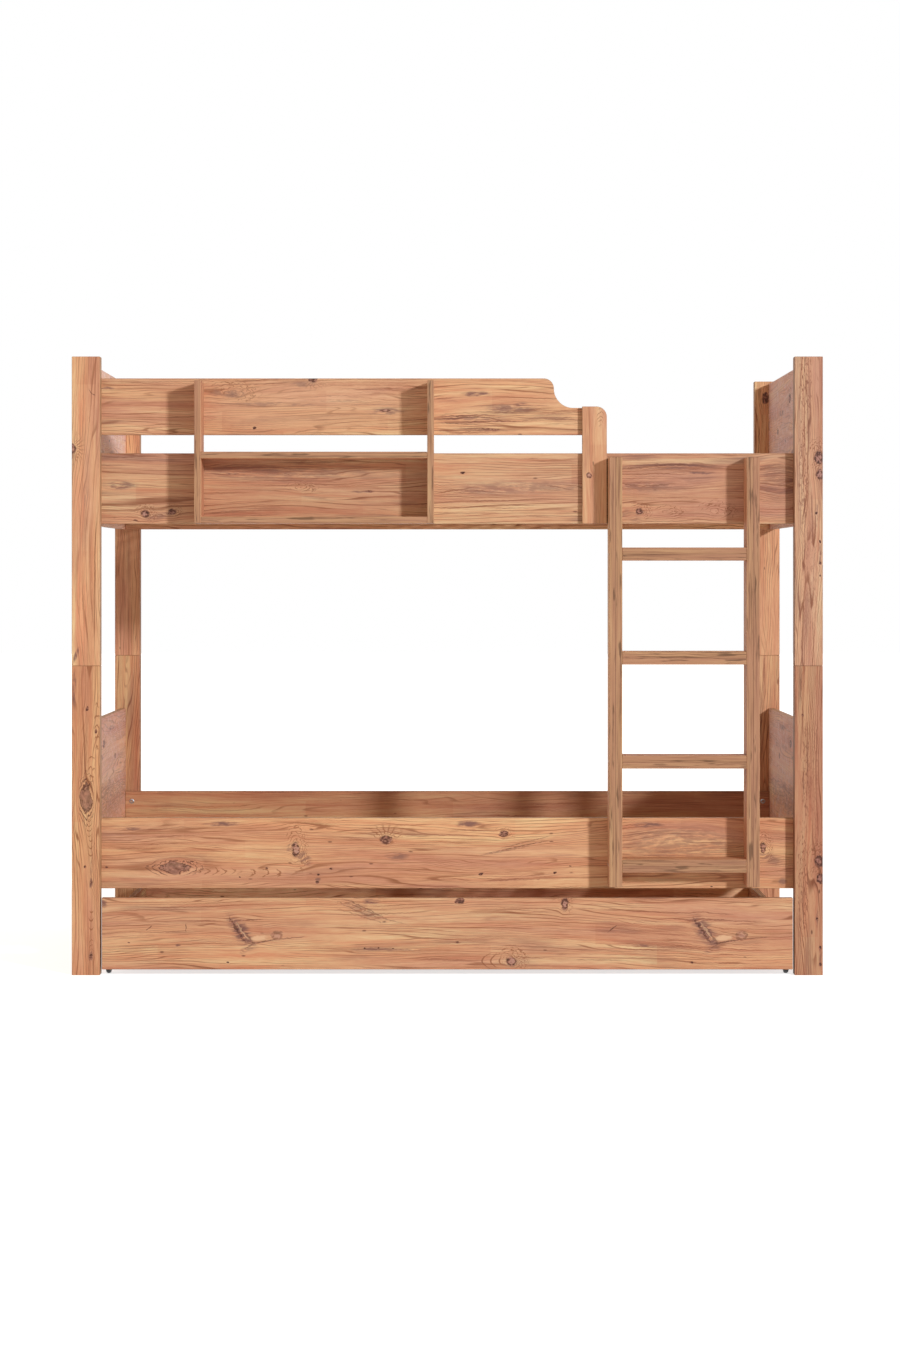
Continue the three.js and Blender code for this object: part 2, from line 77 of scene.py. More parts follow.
PINE_YELLOW = tone(228, 180, 135)
PINE_BASE = tone(215, 161, 123)
PINE_PINK = tone(205, 147, 117)
PINE_LINE = tone(150, 94, 64)
PINE_STREAK = tone(120, 72, 58)
PINE_FLECK = tone(140, 84, 62)
PINE_GREY = tone(134, 93, 81)
PINE_SPECK = tone(188, 142, 124)
PINE_KNOT = tone(100, 60, 48)
PINE_CORE = tone(58, 35, 29)
PINE_HEART = tone(178, 124, 104)
PINE_PALE = tone(236, 192, 150)
PINE_FLUSH = tone(230, 158, 120)
# The next two colours are a painted sheen, washed over the end panels' inner faces
SHEEN_PINK = tone(200, 162, 150)
SHEEN_PALE = tone(226, 196, 186)
BAND_LIGHT = tone(203, 162, 120)
BAND_BASE = tone(180, 135, 99)
BAND_PINK = tone(180, 128, 102)
BAND_DARK = tone(108, 78, 56)
OVERLAY_DARK = (0.36, 0.34, 0.33, 1.0)
OVERLAY_LIGHT = (0.64, 0.64, 0.64, 1.0)
SLAT_LIGHT = tone(232, 208, 165)
SLAT_BASE = tone(218, 188, 142)
SLAT_DARK = tone(184, 146, 100)
SLAT_SHADE = (0.38, 0.36, 0.33, 1.0)
SLAT_SHINE = (0.62, 0.62, 0.62, 1.0)
SLAT_KNOT = tone(142, 92, 54)
ZINC_LIGHT = tone(196, 198, 202)
ZINC_DARK = tone(150, 152, 156)
COTTON_LIGHT = tone(232, 228, 216)
COTTON_DARK = tone(196, 190, 176)
COTTON_SLUB = tone(170, 162, 146)
WHITE = (1.0, 1.0, 1.0, 1.0)
FLOOR_WHITE = (0.92, 0.92, 0.92, 1.0)


# Shader building

class Wire:
    """A number or vector that a shader works out, so that sums are written as sums."""

    def __init__(self, graph, socket):
        self.graph = graph
        self.socket = socket

    def __add__(self, other):
        return self.graph.math("ADD", self, other)

    def __sub__(self, other):
        return self.graph.math("SUBTRACT", self, other)

    def __rsub__(self, other):
        return self.graph.math("SUBTRACT", other, self)

    def __mul__(self, other):
        return self.graph.math("MULTIPLY", self, other)

    __radd__ = __add__
    __rmul__ = __mul__


class Graph:
    """The node tree of a material or of the world, with short spellings for its nodes."""

    def __init__(self, owner):
        self.owner = owner
        owner.use_nodes = True
        self.tree = owner.node_tree
        self.tree.nodes.clear()

    def node(self, kind, inputs=None, output=0, **settings):
        """Adds a node and gives the wire from one of its outputs, if it has any."""
        made = self.tree.nodes.new("ShaderNode" + kind)
        for name, value in settings.items():
            setattr(made, name, value)
        for key, value in (inputs or {}).items():
            if isinstance(value, Wire):
                self.tree.links.new(value.socket, made.inputs[key])
            else:
                made.inputs[key].default_value = value
        return Wire(self, made.outputs[output]) if made.outputs else None

    def beside(self, wire, output):
        """Another output of the node that a wire comes from."""
        return Wire(self, wire.socket.node.outputs[output])

    def math(self, operation, *values):
        return self.node("Math", dict(enumerate(values)), operation=operation)

    def vector(self, operation, *values):
        output = "Value" if operation == "LENGTH" else "Vector"
        return self.node("VectorMath", dict(enumerate(values)), output, operation=operation)

    def combine(self, *parts):
        return self.node("CombineXYZ", dict(enumerate(parts)))

    def separate(self, vector):
        first = self.node("SeparateXYZ", {0: vector})
        return [self.beside(first, i) for i in range(3)]

    def noise(self, place, scale, detail=2.0, roughness=0.5):
        """Cloudy values round a half, with its own scale along each axis."""
        stretched = self.vector("MULTIPLY", place, scale)
        inputs = {"Vector": stretched, "Scale": 1.0, "Detail": detail, "Roughness": roughness}
        return self.node("TexNoise", inputs)

    def cells(self, place, scale):
        """Distance to the nearest scattered point, and a random number for that point."""
        stretched = self.vector("MULTIPLY", place, scale)
        distance = self.node("TexVoronoi", {"Vector": stretched, "Scale": 1.0}, "Distance")
        return distance, self.separate(self.beside(distance, "Color"))[0]

    def lottery(self, place):
        """A random number for each whole-numbered place."""
        return self.node("TexWhiteNoise", {"Vector": place}, "Value", noise_dimensions="3D")

    def step(self, value, low, high, start=0.0, end=1.0):
        """Goes smoothly from start to end as the value goes from low to high."""
        inputs = {"Value": value, "From Min": low, "From Max": high, "To Min": start, "To Max": end}
        return self.node("MapRange", inputs, "Result", interpolation_type="SMOOTHSTEP", clamp=False)

    def blend(self, share, under, over, mode="MIX"):
        inputs = {"Factor": share, 6: under, 7: over}
        return self.node("Mix", inputs, 2, data_type="RGBA", blend_type=mode, clamp_factor=True)

    def ramp(self, value, stops):
        made = self.node("ValToRGB", {0: value})
        elements = made.socket.node.color_ramp.elements
        while len(elements) < len(stops):
            elements.new(0.5)
        for element, (position, colour) in zip(elements, stops):
            element.position = position
            element.color = colour
        return made

    def shade(self, colour, share, value, low, high, lowest=OVERLAY_DARK, highest=OVERLAY_LIGHT):
        """Darkens a colour where a value is low and lightens it where it is high."""
        return self.blend(share, colour, self.ramp(value, [(low, lowest), (high, highest)]), mode="OVERLAY")

    def place(self):
        """The point in the bed's own frame, and the face's direction there."""
        point = self.node("TexCoord", output="Object")
        return point, self.beside(point, "Normal")

    def seen(self):
        """1 where the camera looks, straight, mirrored or through glass, and 0 for light on other things."""
        straight = self.node("LightPath", output="Is Camera Ray")
        reflected = self.math("MAXIMUM", straight, self.beside(straight, "Is Glossy Ray"))
        return self.math("MAXIMUM", reflected, self.beside(straight, "Is Transmission Ray"))

    def finish(self, colour, roughness, height, depth, **constants):
        """Ends a material with its shader. The constants are the shader's own settings."""
        bump = self.node("Bump", {"Strength": 1.0, "Distance": depth, "Height": height})
        inputs = {"Base Color": colour, "Roughness": roughness, "Normal": bump}
        inputs.update({name.replace("_", " "): value for name, value in constants.items()})
        self.node("OutputMaterial", {0: self.node("BsdfPrincipled", inputs)})
        return self.owner


class BoardSpace:
    """A board's own coordinates: along its grain, across its face, and through its thickness."""

    def __init__(self, graph, grain, through):
        across = next(axis for axis in AXES if axis not in (grain, through))
        place, normal = graph.place()
        position = dict(zip(AXES, graph.separate(place)))
        facing = dict(zip(AXES, graph.separate(normal)))
        self.along, self.across, self.through = position[grain], position[across], position[through]
        self.facing = facing[through]
        self.edge = graph.step(graph.math("ABSOLUTE", self.facing), 0.8, 0.6)
        on_end = graph.step(graph.math("ABSOLUTE", facing[grain]), 0.6, 0.8)
        self.band_along = self.along * (1.0 - on_end) + self.across * on_end


# Marks printed in the decor. Each is drawn in an ellipse on the board's face, turned from the grain

MARK_TRAITS = ("dark", "grey", "heart", "rings", "fan", "arches", "tips", "light", "flush", "bend", "torn",
               "lined", "flecked")


class Mark:
    """Sizes are half lengths in millimetres along and across the grain. Prints have strengths up to 1."""

    def __init__(self, along, across, length, width, turn=0.0, **traits):
        self.along, self.across = along * MM, across * MM
        self.length, self.width = length * MM, width * MM
        self.turn = math.radians(turn)
        self.__dict__.update({**dict.fromkeys(MARK_TRAITS, 0.0), **traits})


def knot(along, across, length, width, heart=0.0, rings=0.0, fan=0.0):
    """A round knot. heart is how light its middle is, and rings how far the circles round it reach.

    fan is how close its rays are, and its sign tells the side that they are on.
    """
    return Mark(along, across, length, width, dark=0.95, heart=heart, rings=rings, fan=fan, bend=1.0)


def eye(along, across, length, width):
    """A long reddish knot in nested lines that meet in a point at both ends."""
    return Mark(along, across, length, width, tips=1.0, bend=1.3)


def grey_patch(along, across, length, width, grey=0.85, turn=0.0):
    return Mark(along, across, length, width, turn, grey=grey, bend=0.35)


def dot(along, across, size):
    return Mark(along, across, size * 1.1, size * 0.75, dark=1.0, bend=1.4)


def scratch(along, across, length, turn, width=1.6, dark=0.75):
    return Mark(along, across, length, width, turn, dark=dark)


def flush(along, across, length, width, strength=0.6):
    """A soft salmon glow along the grain."""
    return Mark(along, across, length, width, flush=strength)


def streaks(along, across, length, width, strength=0.9):
    """A group of ragged dark streaks."""
    return Mark(along, across, length, width, torn=strength)


def flecked(along, across, length, width, strength=0.7):
    """A place with short dark flecks."""
    return Mark(along, across, length, width, flecked=strength)


def lined(along, across, length, width, strength=0.8):
    """A place with straight thin lines."""
    return Mark(along, across, length, width, lined=strength)


def almond(along, across, length, width, rings):
    """Nested closed growth lines."""
    return Mark(along, across, length, width, rings=rings, bend=0.8)


def arches(along, across, length, width, pitch):
    """Nested round ends of growth lines. A negative pitch turns them the other way."""
    return Mark(along, across, length, width, arches=pitch * MM)


def scar(along, across):
    """A torn place: a slanting gash, a pale chip at its foot and a crack that runs on along the grain."""
    return (
        grey_patch(along + 3, across, 56, 22, 1.0, turn=-53),
        Mark(along - 9, across + 7, 44, 4, -57, dark=0.75),
        Mark(along + 13, across - 2, 42, 4, -50, dark=0.5),
        Mark(along + 4, across + 6, 32, 3.2, -54, light=0.9),
        Mark(along + 52, across - 15, 28, 8, 6, light=0.85),
        scratch(along + 62, across - 25, 44, 9, 2.0, 0.75),
        scratch(along + 28, across - 36, 20, 30, 2.2, 0.5),
        scratch(along + 26, across + 35, 36, 2, 1.6, 0.5),
        Mark(along + 101, across - 8, 17, 14, dark=0.55, heart=1.0, bend=0.6),
        scratch(along + 138, across - 15, 40, 5, 1.6, 0.6),
        grey_patch(along + 20, across - 44, 26, 9, 0.5, turn=30),
    )


# Where each plain print starts and where it is full, in parts of the mark's size
PRINT_EDGES = {
    "dark": (1.12, 0.80),
    "grey": (1.35, 0.50),
    "torn": (1.25, 0.45),
    "flecked": (1.25, 0.55),
    "lined": (1.1, 0.6),
    "flush": (1.1, 0.2),
}


class Figure(dict):
    """All the marks of one board, by layer: how they bend the grain, and where each kind of print shows."""

    def __init__(self, graph):
        super().__init__()
        self.graph = graph

    def widest(self, layer, value):
        self[layer] = self.graph.math("MAXIMUM", self[layer], value) if layer in self else value

    def add(self, mark, marked, rough):
        """Draws a mark in its own axes, with its outline at a distance of 1. rough makes that ragged."""
        g = self.graph
        inputs = {
            "Vector": marked,
            "Location": (mark.along, mark.across, 0.0),
            "Rotation": (0.0, 0.0, mark.turn),
            "Scale": (mark.length, mark.width, 1.0),
        }
        local = g.node("Mapping", inputs, vector_type="TEXTURE")
        x, y, _z = g.separate(local)
        distance = g.vector("LENGTH", local)
        if mark.bend:
            fading = g.math("DIVIDE", mark.bend * mark.width * 1.1, distance * distance * distance + 0.8)
            shift = y * fading
            self["bend"] = self["bend"] + shift if "bend" in self else shift
        for layer, (outside, inside) in PRINT_EDGES.items():
            strength = getattr(mark, layer)
            if strength:
                self.widest(layer, g.step(distance, outside, inside, 0.0, strength))
        if mark.heart:
            self.widest("heart", g.step(distance + rough, 0.66, 0.28, 0.0, mark.heart))
        if mark.light:
            self.widest("light", g.step(distance + rough * 0.8, 1.1, 0.6, 0.0, mark.light))
        if mark.tips:
            self.add_eye(x, y, rough)
        if mark.rings:
            circle = g.step(g.math("PINGPONG", distance * 1.7 + rough * 2.2, 0.5), 0.20, 0.04)
            broken = g.step(x * 0.6 + y * 0.5 + rough * 4.0, -0.9, 0.5)
            self.widest("fine", circle * broken * g.step(distance, mark.rings + 1.2, mark.rings))
        if mark.fan:
            spoke = g.math("ARCTAN2", y + rough * 1.5, x) * (abs(mark.fan) * 2.6) + rough * 0.8
            ray = g.step(g.math("PINGPONG", spoke, 0.5), 0.24, 0.06)
            side = g.step(y * math.copysign(1.0, mark.fan), 0.1, 0.9)
            self.widest("fine", ray * side * g.step(distance, 4.2, 1.6) * g.step(distance, 1.0, 1.5))
        if mark.arches:
            hollow = 1.3 * mark.width / abs(mark.arches)
            reach = x * (mark.length / mark.arches) + y * y * hollow + rough * 0.6
            arch = g.step(g.math("PINGPONG", reach, 0.5), 0.15, 0.03)
            self.widest("fine", arch * g.step(distance, 1.05, 0.55))

    def add_eye(self, x, y, rough):
        """A mottled heart in nested pointed lines, with dark spots at both ends."""
        g = self.graph
        height = g.math("ABSOLUTE", y)
        lens = g.math("SQRT", x * x + 0.35) * 0.72 + height * 0.46 + rough * 0.55
        self.widest("heart_patch", g.step(lens, 0.88, 0.76))
        nested = g.step(g.math("PINGPONG", lens * 4.2, 0.5), 0.30, 0.46)
        shown = nested * g.step(lens, 1.62, 1.1) * g.step(lens, 0.74, 0.82) * g.step(height, 1.25, 0.8)
        self.widest("line", shown)
        from_tip = g.math("ABSOLUTE", g.math("ABSOLUTE", x) - 0.72)
        self.widest("dark_spots", g.step(from_tip, 0.42, 0.10) * g.step(lens, 0.95, 0.85))


LAMELLA_WIDTH = 56 * MM  # of the glued strips in the printed board
LAMELLA_LENGTH = 460 * MM
LONG_WANDER = 80 * MM  # how far the grain strays
SHORT_WANDER = 5.5 * MM
TREMBLE = 3.5 * MM
LINES_PER_METRE = 105.0  # growth lines
LINES_ASTRAY = 15.0  # how many lines' width they wave
HAIRS_PER_METRE = 190.0  # finer lines between them
HAIRS_ASTRAY = 13.0
THREADS_PER_METRE = 110.0  # straight lines in the lined marks


def own_marks(g, figure, pine, base, grained, across, torn):
    """Adds a board's own marks to its print. The last three are places on the bent grain."""
    if zone := figure.get("lined"):
        threads = across * THREADS_PER_METRE + g.noise(grained, (0.8, 12, 9), 1.0) * 8.0
        thread = g.step(g.math("PINGPONG", threads, 0.5), 0.16, 0.03)
        broken = g.step(g.noise(grained, (3, 60, 20)), 0.36, 0.52)
        pine = g.blend(thread * broken * zone, pine, PINE_LINE)
    if zone := figure.get("torn"):
        ragged = g.step(g.noise(torn, (3.6, 230, 90), 4.0, 0.62), 0.49, 0.57)
        pine = g.blend(ragged * zone, pine, PINE_STREAK)
    if lines_drawn := figure.get("fine"):
        pine = g.blend(lines_drawn * 0.85, pine, PINE_LINE)
    if zone := figure.get("grey"):
        mottled = zone * g.step(g.noise(torn, (30, 200, 90), 3.0, 0.6), 0.34, 0.60)
        pine = g.blend(mottled, pine, PINE_GREY)
    if zone := figure.get("heart_patch"):
        mottle = g.noise(base, (70, 110, 60), 3.0, 0.6)
        patch = g.ramp(mottle, [(0.34, PINE_KNOT), (0.48, PINE_GREY), (0.70, PINE_HEART)])
        pine = g.blend(zone * 0.8, pine, patch)
    if zone := figure.get("dark_spots"):
        spots = g.step(g.noise(base, (190, 260, 120), 2.0, 0.6), 0.52, 0.60)
        pine = g.blend(spots * zone * 0.7, pine, PINE_CORE)
    if lines_drawn := figure.get("line"):
        pine = g.blend(lines_drawn * 0.9, pine, PINE_KNOT)
    if zone := figure.get("light"):
        pine = g.blend(zone, pine, PINE_PALE)
    if zone := figure.get("dark"):
        core = g.noise(base, (130, 210, 90), 2.0, 0.6)
        if heart := figure.get("heart"):
            core = core + heart * 0.30
        stops = [(0.30, PINE_CORE), (0.50, PINE_KNOT), (0.66, PINE_HEART), (0.80, PINE_SPECK)]
        pine = g.blend(zone, pine, g.ramp(core, stops))
    return pine


def edge_band(g, space, shift, seam):
    """Narrow olive streaks, with each board of a doubled one in its own strip."""
    strip = g.math("GREATER_THAN", space.through, seam) if seam is not None else 0.0
    edge_base = g.vector("ADD", g.combine(space.band_along, space.through, strip), shift)
    waver = (g.noise(edge_base, (9, 60, 5)) - 0.5) * 0.008
    wavy = g.vector("ADD", edge_base, g.combine(0.0, waver, 0.0))
    streaking = g.noise(wavy, (5, 250, 7), 3.0, 0.6)
    band = g.ramp(streaking, [(0.30, BAND_DARK), (0.47, BAND_BASE), (0.70, BAND_LIGHT)])
    pinker = g.step(g.noise(wavy, (2.5, 40, 7)), 0.35, 0.65)
    band = g.blend(pinker * 0.5, band, BAND_PINK)
    patches = g.step(g.noise(wavy, (13, 130, 7)), 0.57, 0.70)
    band = g.blend(patches * 0.8, band, BAND_DARK)
    if seam is not None:
        joint = g.step(g.math("ABSOLUTE", space.through - seam), 0.0012, 0.0003)
        band = g.blend(joint * 0.7, band, PINE_KNOT)
    return band


def pine_decor(name, grain, through, seed, marks=(), tint_and_painted_light=(1.0, 1.0, 1.0), painted_sheen=0.0, lines=1.0, dashes=0.7,
               smudges=0.35, seam=None, inward=None):
    """Pine decor on a board, with streaked edge bands. Places are in metres along and across the board.

    lines, dashes and smudges are how strongly each shows. The sheen argument washes the print with a painted
    sheen: a greyish pink with pale mottle.
    seam is where the two boards of a doubled one meet, through its thickness.
    inward is the way the inner face looks, 1 or -1, on a board whose painted sheen and tint fall only on
    that face.
    """
    g = Graph(bpy.data.materials.new(name))
    space = BoardSpace(g, grain, through)
    shift = (seed * 3.71, seed * 1.93, seed * 0.57)
    base = g.vector("ADD", g.combine(space.along, space.across, space.through * 3.0), shift)

    # Grain wanders in long and short waves, trembles in patches, and bends round each mark
    long_wave = g.noise(base, (1.1, 4.5, 5), 1.0) - 0.5
    short_wave = g.noise(base, (9, 27, 20)) - 0.5
    trembling = g.step(g.noise(base, (2.6, 13, 9), 1.0), 0.50, 0.64)
    tremble = (g.noise(base, (90, 80, 40), 1.0) - 0.5) * trembling
    wander = long_wave * LONG_WANDER + short_wave * SHORT_WANDER + tremble * TREMBLE
    rough = g.noise(base, (60, 110, 60)) - 0.5
    marked = g.combine(space.along + rough * 0.014, space.across + rough * 0.007, 0.0)
    figure = Figure(g)
    for mark in marks:
        figure.add(mark, marked, rough)
    across = space.across + wander
    if bend := figure.get("bend"):
        across = across - bend
    grained = g.vector("ADD", g.combine(space.along, across, space.through * 3.0), shift)

    # Broad tones, and the slightly different strips that the printed board is glued from
    tones = g.noise(grained, (1.2, 12, 9), 3.0, 0.6)
    pine = g.ramp(tones, [(0.34, PINE_PINK), (0.46, PINE_BASE), (0.63, PINE_YELLOW)])
    row = g.math("FLOOR", space.across * (1 / LAMELLA_WIDTH) + seed * 0.37)
    lamella = g.math("FLOOR", space.along * (1 / LAMELLA_LENGTH) + row * 0.37)
    chance = g.lottery(g.combine(row, lamella, seed))
    pine = g.shade(pine, 0.28, chance, 0.0, 1.0)
    if glow := figure.get("flush"):
        pine = g.blend(glow, pine, PINE_FLUSH)
    bands = g.noise(grained, (1.8, 50, 26), 6.0, 0.74)
    pine = g.shade(pine, 1.0, bands, 0.33, 0.67)

    # Growth lines, thin and wavy, closer in some places than in others, that come and go along the board
    waves = g.noise(grained, (1.1, 13, 9), 1.5) - 0.5
    phase = g.math("FRACT", across * LINES_PER_METRE + waves * LINES_ASTRAY)
    late = g.step(phase, 0.68, 0.90) * g.step(phase, 1.0, 0.93)
    strength = g.step(g.noise(grained, (2.6, 30, 14), 3.0, 0.6), 0.40, 0.62)
    pine = g.blend(late * strength * (0.9 * lines), pine, PINE_LINE)
    waves = g.noise(grained, (2, 24, 16), 1.5) - 0.5
    hair = g.step(g.math("PINGPONG", across * HAIRS_PER_METRE + waves * HAIRS_ASTRAY, 0.5), 0.16, 0.03)
    hair_strength = g.step(g.noise(grained, (3.4, 26, 14)), 0.38, 0.58)
    pine = g.blend(hair * hair_strength * (0.75 * lines), pine, PINE_LINE)

    # Ragged dark streaks along the grain, short flecks, smudges, fibre and specks
    torn = g.vector("ADD", grained, g.combine(0.0, rough * 0.004, 0.0))
    dash = g.step(g.noise(torn, (4, 210, 90), 3.0, 0.6), 0.55, 0.66)
    dash_zone = g.step(g.noise(grained, (2, 15, 9), 1.0), 0.47, 0.63)
    pine = g.blend(dash * dash_zone * dashes, pine, PINE_FLECK)
    cloud = g.step(g.noise(torn, (3, 26, 11), 3.0), 0.57, 0.72)
    pine = g.blend(cloud * smudges, pine, PINE_GREY)
    if zone := figure.get("flecked"):
        fleck = g.step(g.noise(torn, (80, 330, 120), 2.0, 0.6), 0.53, 0.61)
        pine = g.blend(fleck * zone, pine, PINE_FLECK)
    fibre = g.noise(grained, (24, 700, 500), 2.0, 0.6)
    pine = g.shade(pine, 0.55, fibre, 0.30, 0.70)
    from_speck, drawn = g.cells(grained, (18, 50, 40))
    pine = g.blend(g.step(from_speck, 0.15, 0.06) * g.step(drawn, 0.90, 0.92) * 0.75, pine, PINE_KNOT)
    inner = g.step(space.facing * inward, -0.2, 0.2) if inward else 1.0
    # A painted sheen on the inner face: a greyish pink wash and a pale mottle
    if painted_sheen:
        sheen_veil = g.step(g.noise(torn, (4, 9, 90), 2.0, 0.6), 0.36, 0.56, 0.45, 1.0)
        pine = g.blend(inner * sheen_veil * (painted_sheen * 0.9), pine, SHEEN_PINK)
        pale = g.step(g.noise(torn, (45, 60, 90), 3.0, 0.65), 0.50, 0.66)
        pine = g.blend(inner * pale * 0.5, pine, SHEEN_PALE)

    pine = own_marks(g, figure, pine, base, grained, across, torn)
    wood = g.blend(space.edge, pine, edge_band(g, space, shift, seam))
    # The tint multiplies the colour: a plain tone on most boards, and painted light and shade on the back
    # rails, the drawer's back, the lower left back post and the end panels' inner faces
    if tint_and_painted_light != (1.0, 1.0, 1.0):
        wood = g.blend(inner, wood, (*tint_and_painted_light, 1.0), mode="MULTIPLY")

    relief = late * strength * -0.35 + fibre * 0.5
    gloss = g.step(fibre, 0.2, 0.8, 0.50, 0.64)
    return g.finish(wood, gloss, relief, 0.12 * MM, Specular_IOR_Level=0.22)


def slat_wood(name, grain, through, seed):
    """Planed softwood: straight growth lines, fine fibre and a small knot here and there."""
    g = Graph(bpy.data.materials.new(name))
    space = BoardSpace(g, grain, through)
    piece = g.combine(space.along, space.across, space.through)
    base = g.vector("ADD", piece, (seed * 2.3, seed * 1.1, seed * 0.7))
    wave = (g.noise(base, (2, 9, 9)) - 0.5) * 0.014
    bent = g.vector("ADD", base, g.combine(0.0, wave, 0.0))
    growth = g.noise(bent, (1.5, 190, 190))
    wood = g.ramp(growth, [(0.32, SLAT_DARK), (0.50, SLAT_BASE), (0.66, SLAT_LIGHT)])
    fibre = g.noise(bent, (30, 1200, 1200), 2.0, 0.6)
    wood = g.shade(wood, 0.4, fibre, 0.3, 0.7, SLAT_SHADE, SLAT_SHINE)
    from_knot, drawn = g.cells(base, (6, 18, 12))
    knots = g.step(from_knot, 0.20, 0.09) * g.step(drawn, 0.90, 0.92)
    wood = g.blend(knots * 0.8, wood, SLAT_KNOT)
    return g.finish(wood, g.step(fibre, 0.2, 0.8, 0.60, 0.75), fibre, 0.15 * MM, Specular_IOR_Level=0.25)


def metal(name):
    """Zinc-plated steel with faint handling marks."""
    g = Graph(bpy.data.materials.new(name))
    place, _normal = g.place()
    cloud = g.noise(place, (180, 180, 180), 3.0)
    scuffs = g.noise(place, (900, 900, 2500))
    shade = g.blend(g.step(cloud, 0.3, 0.75), ZINC_LIGHT, ZINC_DARK)
    return g.finish(shade, g.step(scuffs, 0.3, 0.7, 0.26, 0.44), scuffs, 0.02 * MM, Metallic=1.0)


def plastic(name, colour, worn, roughness):
    """Moulded black plastic with a fine grain and slightly greyer worn places."""
    g = Graph(bpy.data.materials.new(name))
    place, _normal = g.place()
    grain = g.noise(place, (2600, 2600, 2600))
    wear = g.step(g.noise(place, (90, 90, 90), 3.0, 0.6), 0.45, 0.75)
    shade = g.blend(wear, colour, worn)
    return g.finish(shade, g.step(grain, 0.2, 0.8, roughness - 0.06, roughness + 0.08), grain, 0.03 * MM)


WARP_PITCH = 1.6 * MM
WEFT_PITCH = 1.2 * MM


def webbing(name):
    """Woven cotton tape under the slats."""
    g = Graph(bpy.data.materials.new(name))
    place, _normal = g.place()
    x, y, _z = g.separate(place)
    warp = g.math("SINE", y * (2 * math.pi / WARP_PITCH))
    weft = g.math("SINE", x * (2 * math.pi / WEFT_PITCH))
    weave = warp * weft
    shade = g.blend(g.step(weave, -1.0, 1.0), COTTON_DARK, COTTON_LIGHT)
    slub = g.noise(place, (40, 900, 40))
    shade = g.blend(g.step(slub, 0.45, 0.7) * 0.35, shade, COTTON_SLUB)
    return g.finish(shade, g.step(slub, 0.3, 0.7, 0.85, 0.95), weave, 0.3 * MM)


# Which finish each board has. Marks are given in millimetres along and across the board's grain

LOWER_RAIL_MARKS = (
    grey_patch(-625, 415, 46, 6, 1.0), grey_patch(-873, 402, 22, 4), eye(-756, 294, 48, 20),
    arches(-640, 284, 70, 13, 24), arches(-500, 279, 90, 15, 38), knot(-421, 344, 11, 22, 0.9, 2.6),
    grey_patch(-400, 322, 30, 14, 0.8, turn=-48), grey_patch(-434, 352, 14, 8, turn=40), grey_patch(-359, 262, 7, 7),
    knot(-170, 371, 17, 13, 0.1, 0.8, 1.1), grey_patch(-140, 325, 30, 11, 0.8), grey_patch(57, 415, 32, 9, 1.0),
    knot(157, 388, 13, 9, rings=1.5), scratch(190, 350, 95, 12, 2.0, 0.6),
    scratch(215, 364, 75, 14, 1.7, 0.45), scratch(160, 340, 80, 11, 1.6, 0.4), grey_patch(560, 412, 44, 7, 1.0),
    dot(94, 276, 5), dot(299, 280, 4), dot(341, 298, 3), dot(-502, 292, 4), dot(-322, 291, 4),
    dot(-357, 275, 4), dot(-362, 253, 6), dot(-577, 267, 3), dot(-947, 295, 4), dot(735, 242, 3),
    knot(877, 349, 9, 15, 0.4, 2.6), grey_patch(890, 320, 46, 15, 0.6, turn=-18), grey_patch(930, 254, 12, 11, 0.8),
    # The broad grey patch at 640 along the rail, between the ladder's uprights, is painted shade
    grey_patch(640, 365, 190, 48, 0.5), streaks(600, 390, 120, 12, 0.5),
)
DRAWER_MARKS = (
    *scar(-572, 118), *scar(712, 118), scratch(-824, 131, 11, 38), scratch(-723, 131, 13, 90, 1.2),
    grey_patch(-744, 83, 8, 3, 1.0), dot(-606, 36, 4), dot(-880, 91, 3), grey_patch(-211, 204, 22, 8, 1.0),
    grey_patch(-236, 180, 60, 14, 0.45, turn=-24), scratch(-236, 190, 60, -24, 1.9, 0.5),
    scratch(-222, 178, 70, -22, 1.8, 0.45), scratch(-262, 184, 50, -26, 1.6, 0.4),
    scratch(-190, 160, 90, -14, 1.7, 0.4), scratch(-240, 164, 70, -18, 1.6, 0.35), knot(35, 205, 14, 9),
    knot(325, 197, 11, 18, 0.8, 1.2, 1.6), knot(176, 38, 14, 13, 0.8, 2.8), arches(120, 40, 40, 26, -24),
    grey_patch(-200, 72, 70, 5, 0.8), grey_patch(-110, 70, 40, 4, 0.7), dot(29, 92, 4), dot(-230, 74, 3),
    dot(-190, 76, 3), dot(-150, 74, 3), dot(677, 36, 4), grey_patch(-951, 200, 10, 14),
    scratch(455, 128, 16, 38), grey_patch(540, 82, 18, 3, 1.0),
)
GUARD_MARKS = (
    streaks(175, 1568, 120, 15), streaks(60, 1542, 110, 15), streaks(110, 1513, 95, 9, 0.8),
    streaks(300, 1545, 70, 14, 0.7), streaks(-180, 1580, 110, 8, 0.6), streaks(-560, 1580, 120, 6, 0.5),
    lined(250, 1610, 150, 30), grey_patch(-595, 1608, 34, 11, 1.0), grey_patch(-640, 1612, 20, 8, 0.6),
    almond(-606, 1611, 30, 13, 2.2), knot(-373, 1648, 13, 8, fan=-1.1), grey_patch(-400, 1636, 34, 8, 0.7),
    dot(-537, 1514, 5), grey_patch(-950, 1625, 26, 4), grey_patch(82, 1609, 40, 7, 1.0),
    grey_patch(170, 1569, 62, 11, 0.75), grey_patch(190, 1578, 30, 5, 0.7, turn=12), grey_patch(71, 1540, 95, 5, 0.6),
    scratch(60, 1546, 90, -2, 1.8, 0.6), scratch(160, 1533, 110, 1, 1.6, 0.5),
    scratch(30, 1527, 60, -3, 1.6, 0.5), scratch(118, 1511, 28, -4), grey_patch(-171, 1562, 50, 10, 0.9),
    Mark(-173, 1562, 16, 3.5, dark=0.9, heart=0.5), grey_patch(-480, 1580, 120, 5, 0.7),
    grey_patch(-330, 1590, 90, 4, 0.5), Mark(-400, 1572, 300, 90, light=0.16),
)
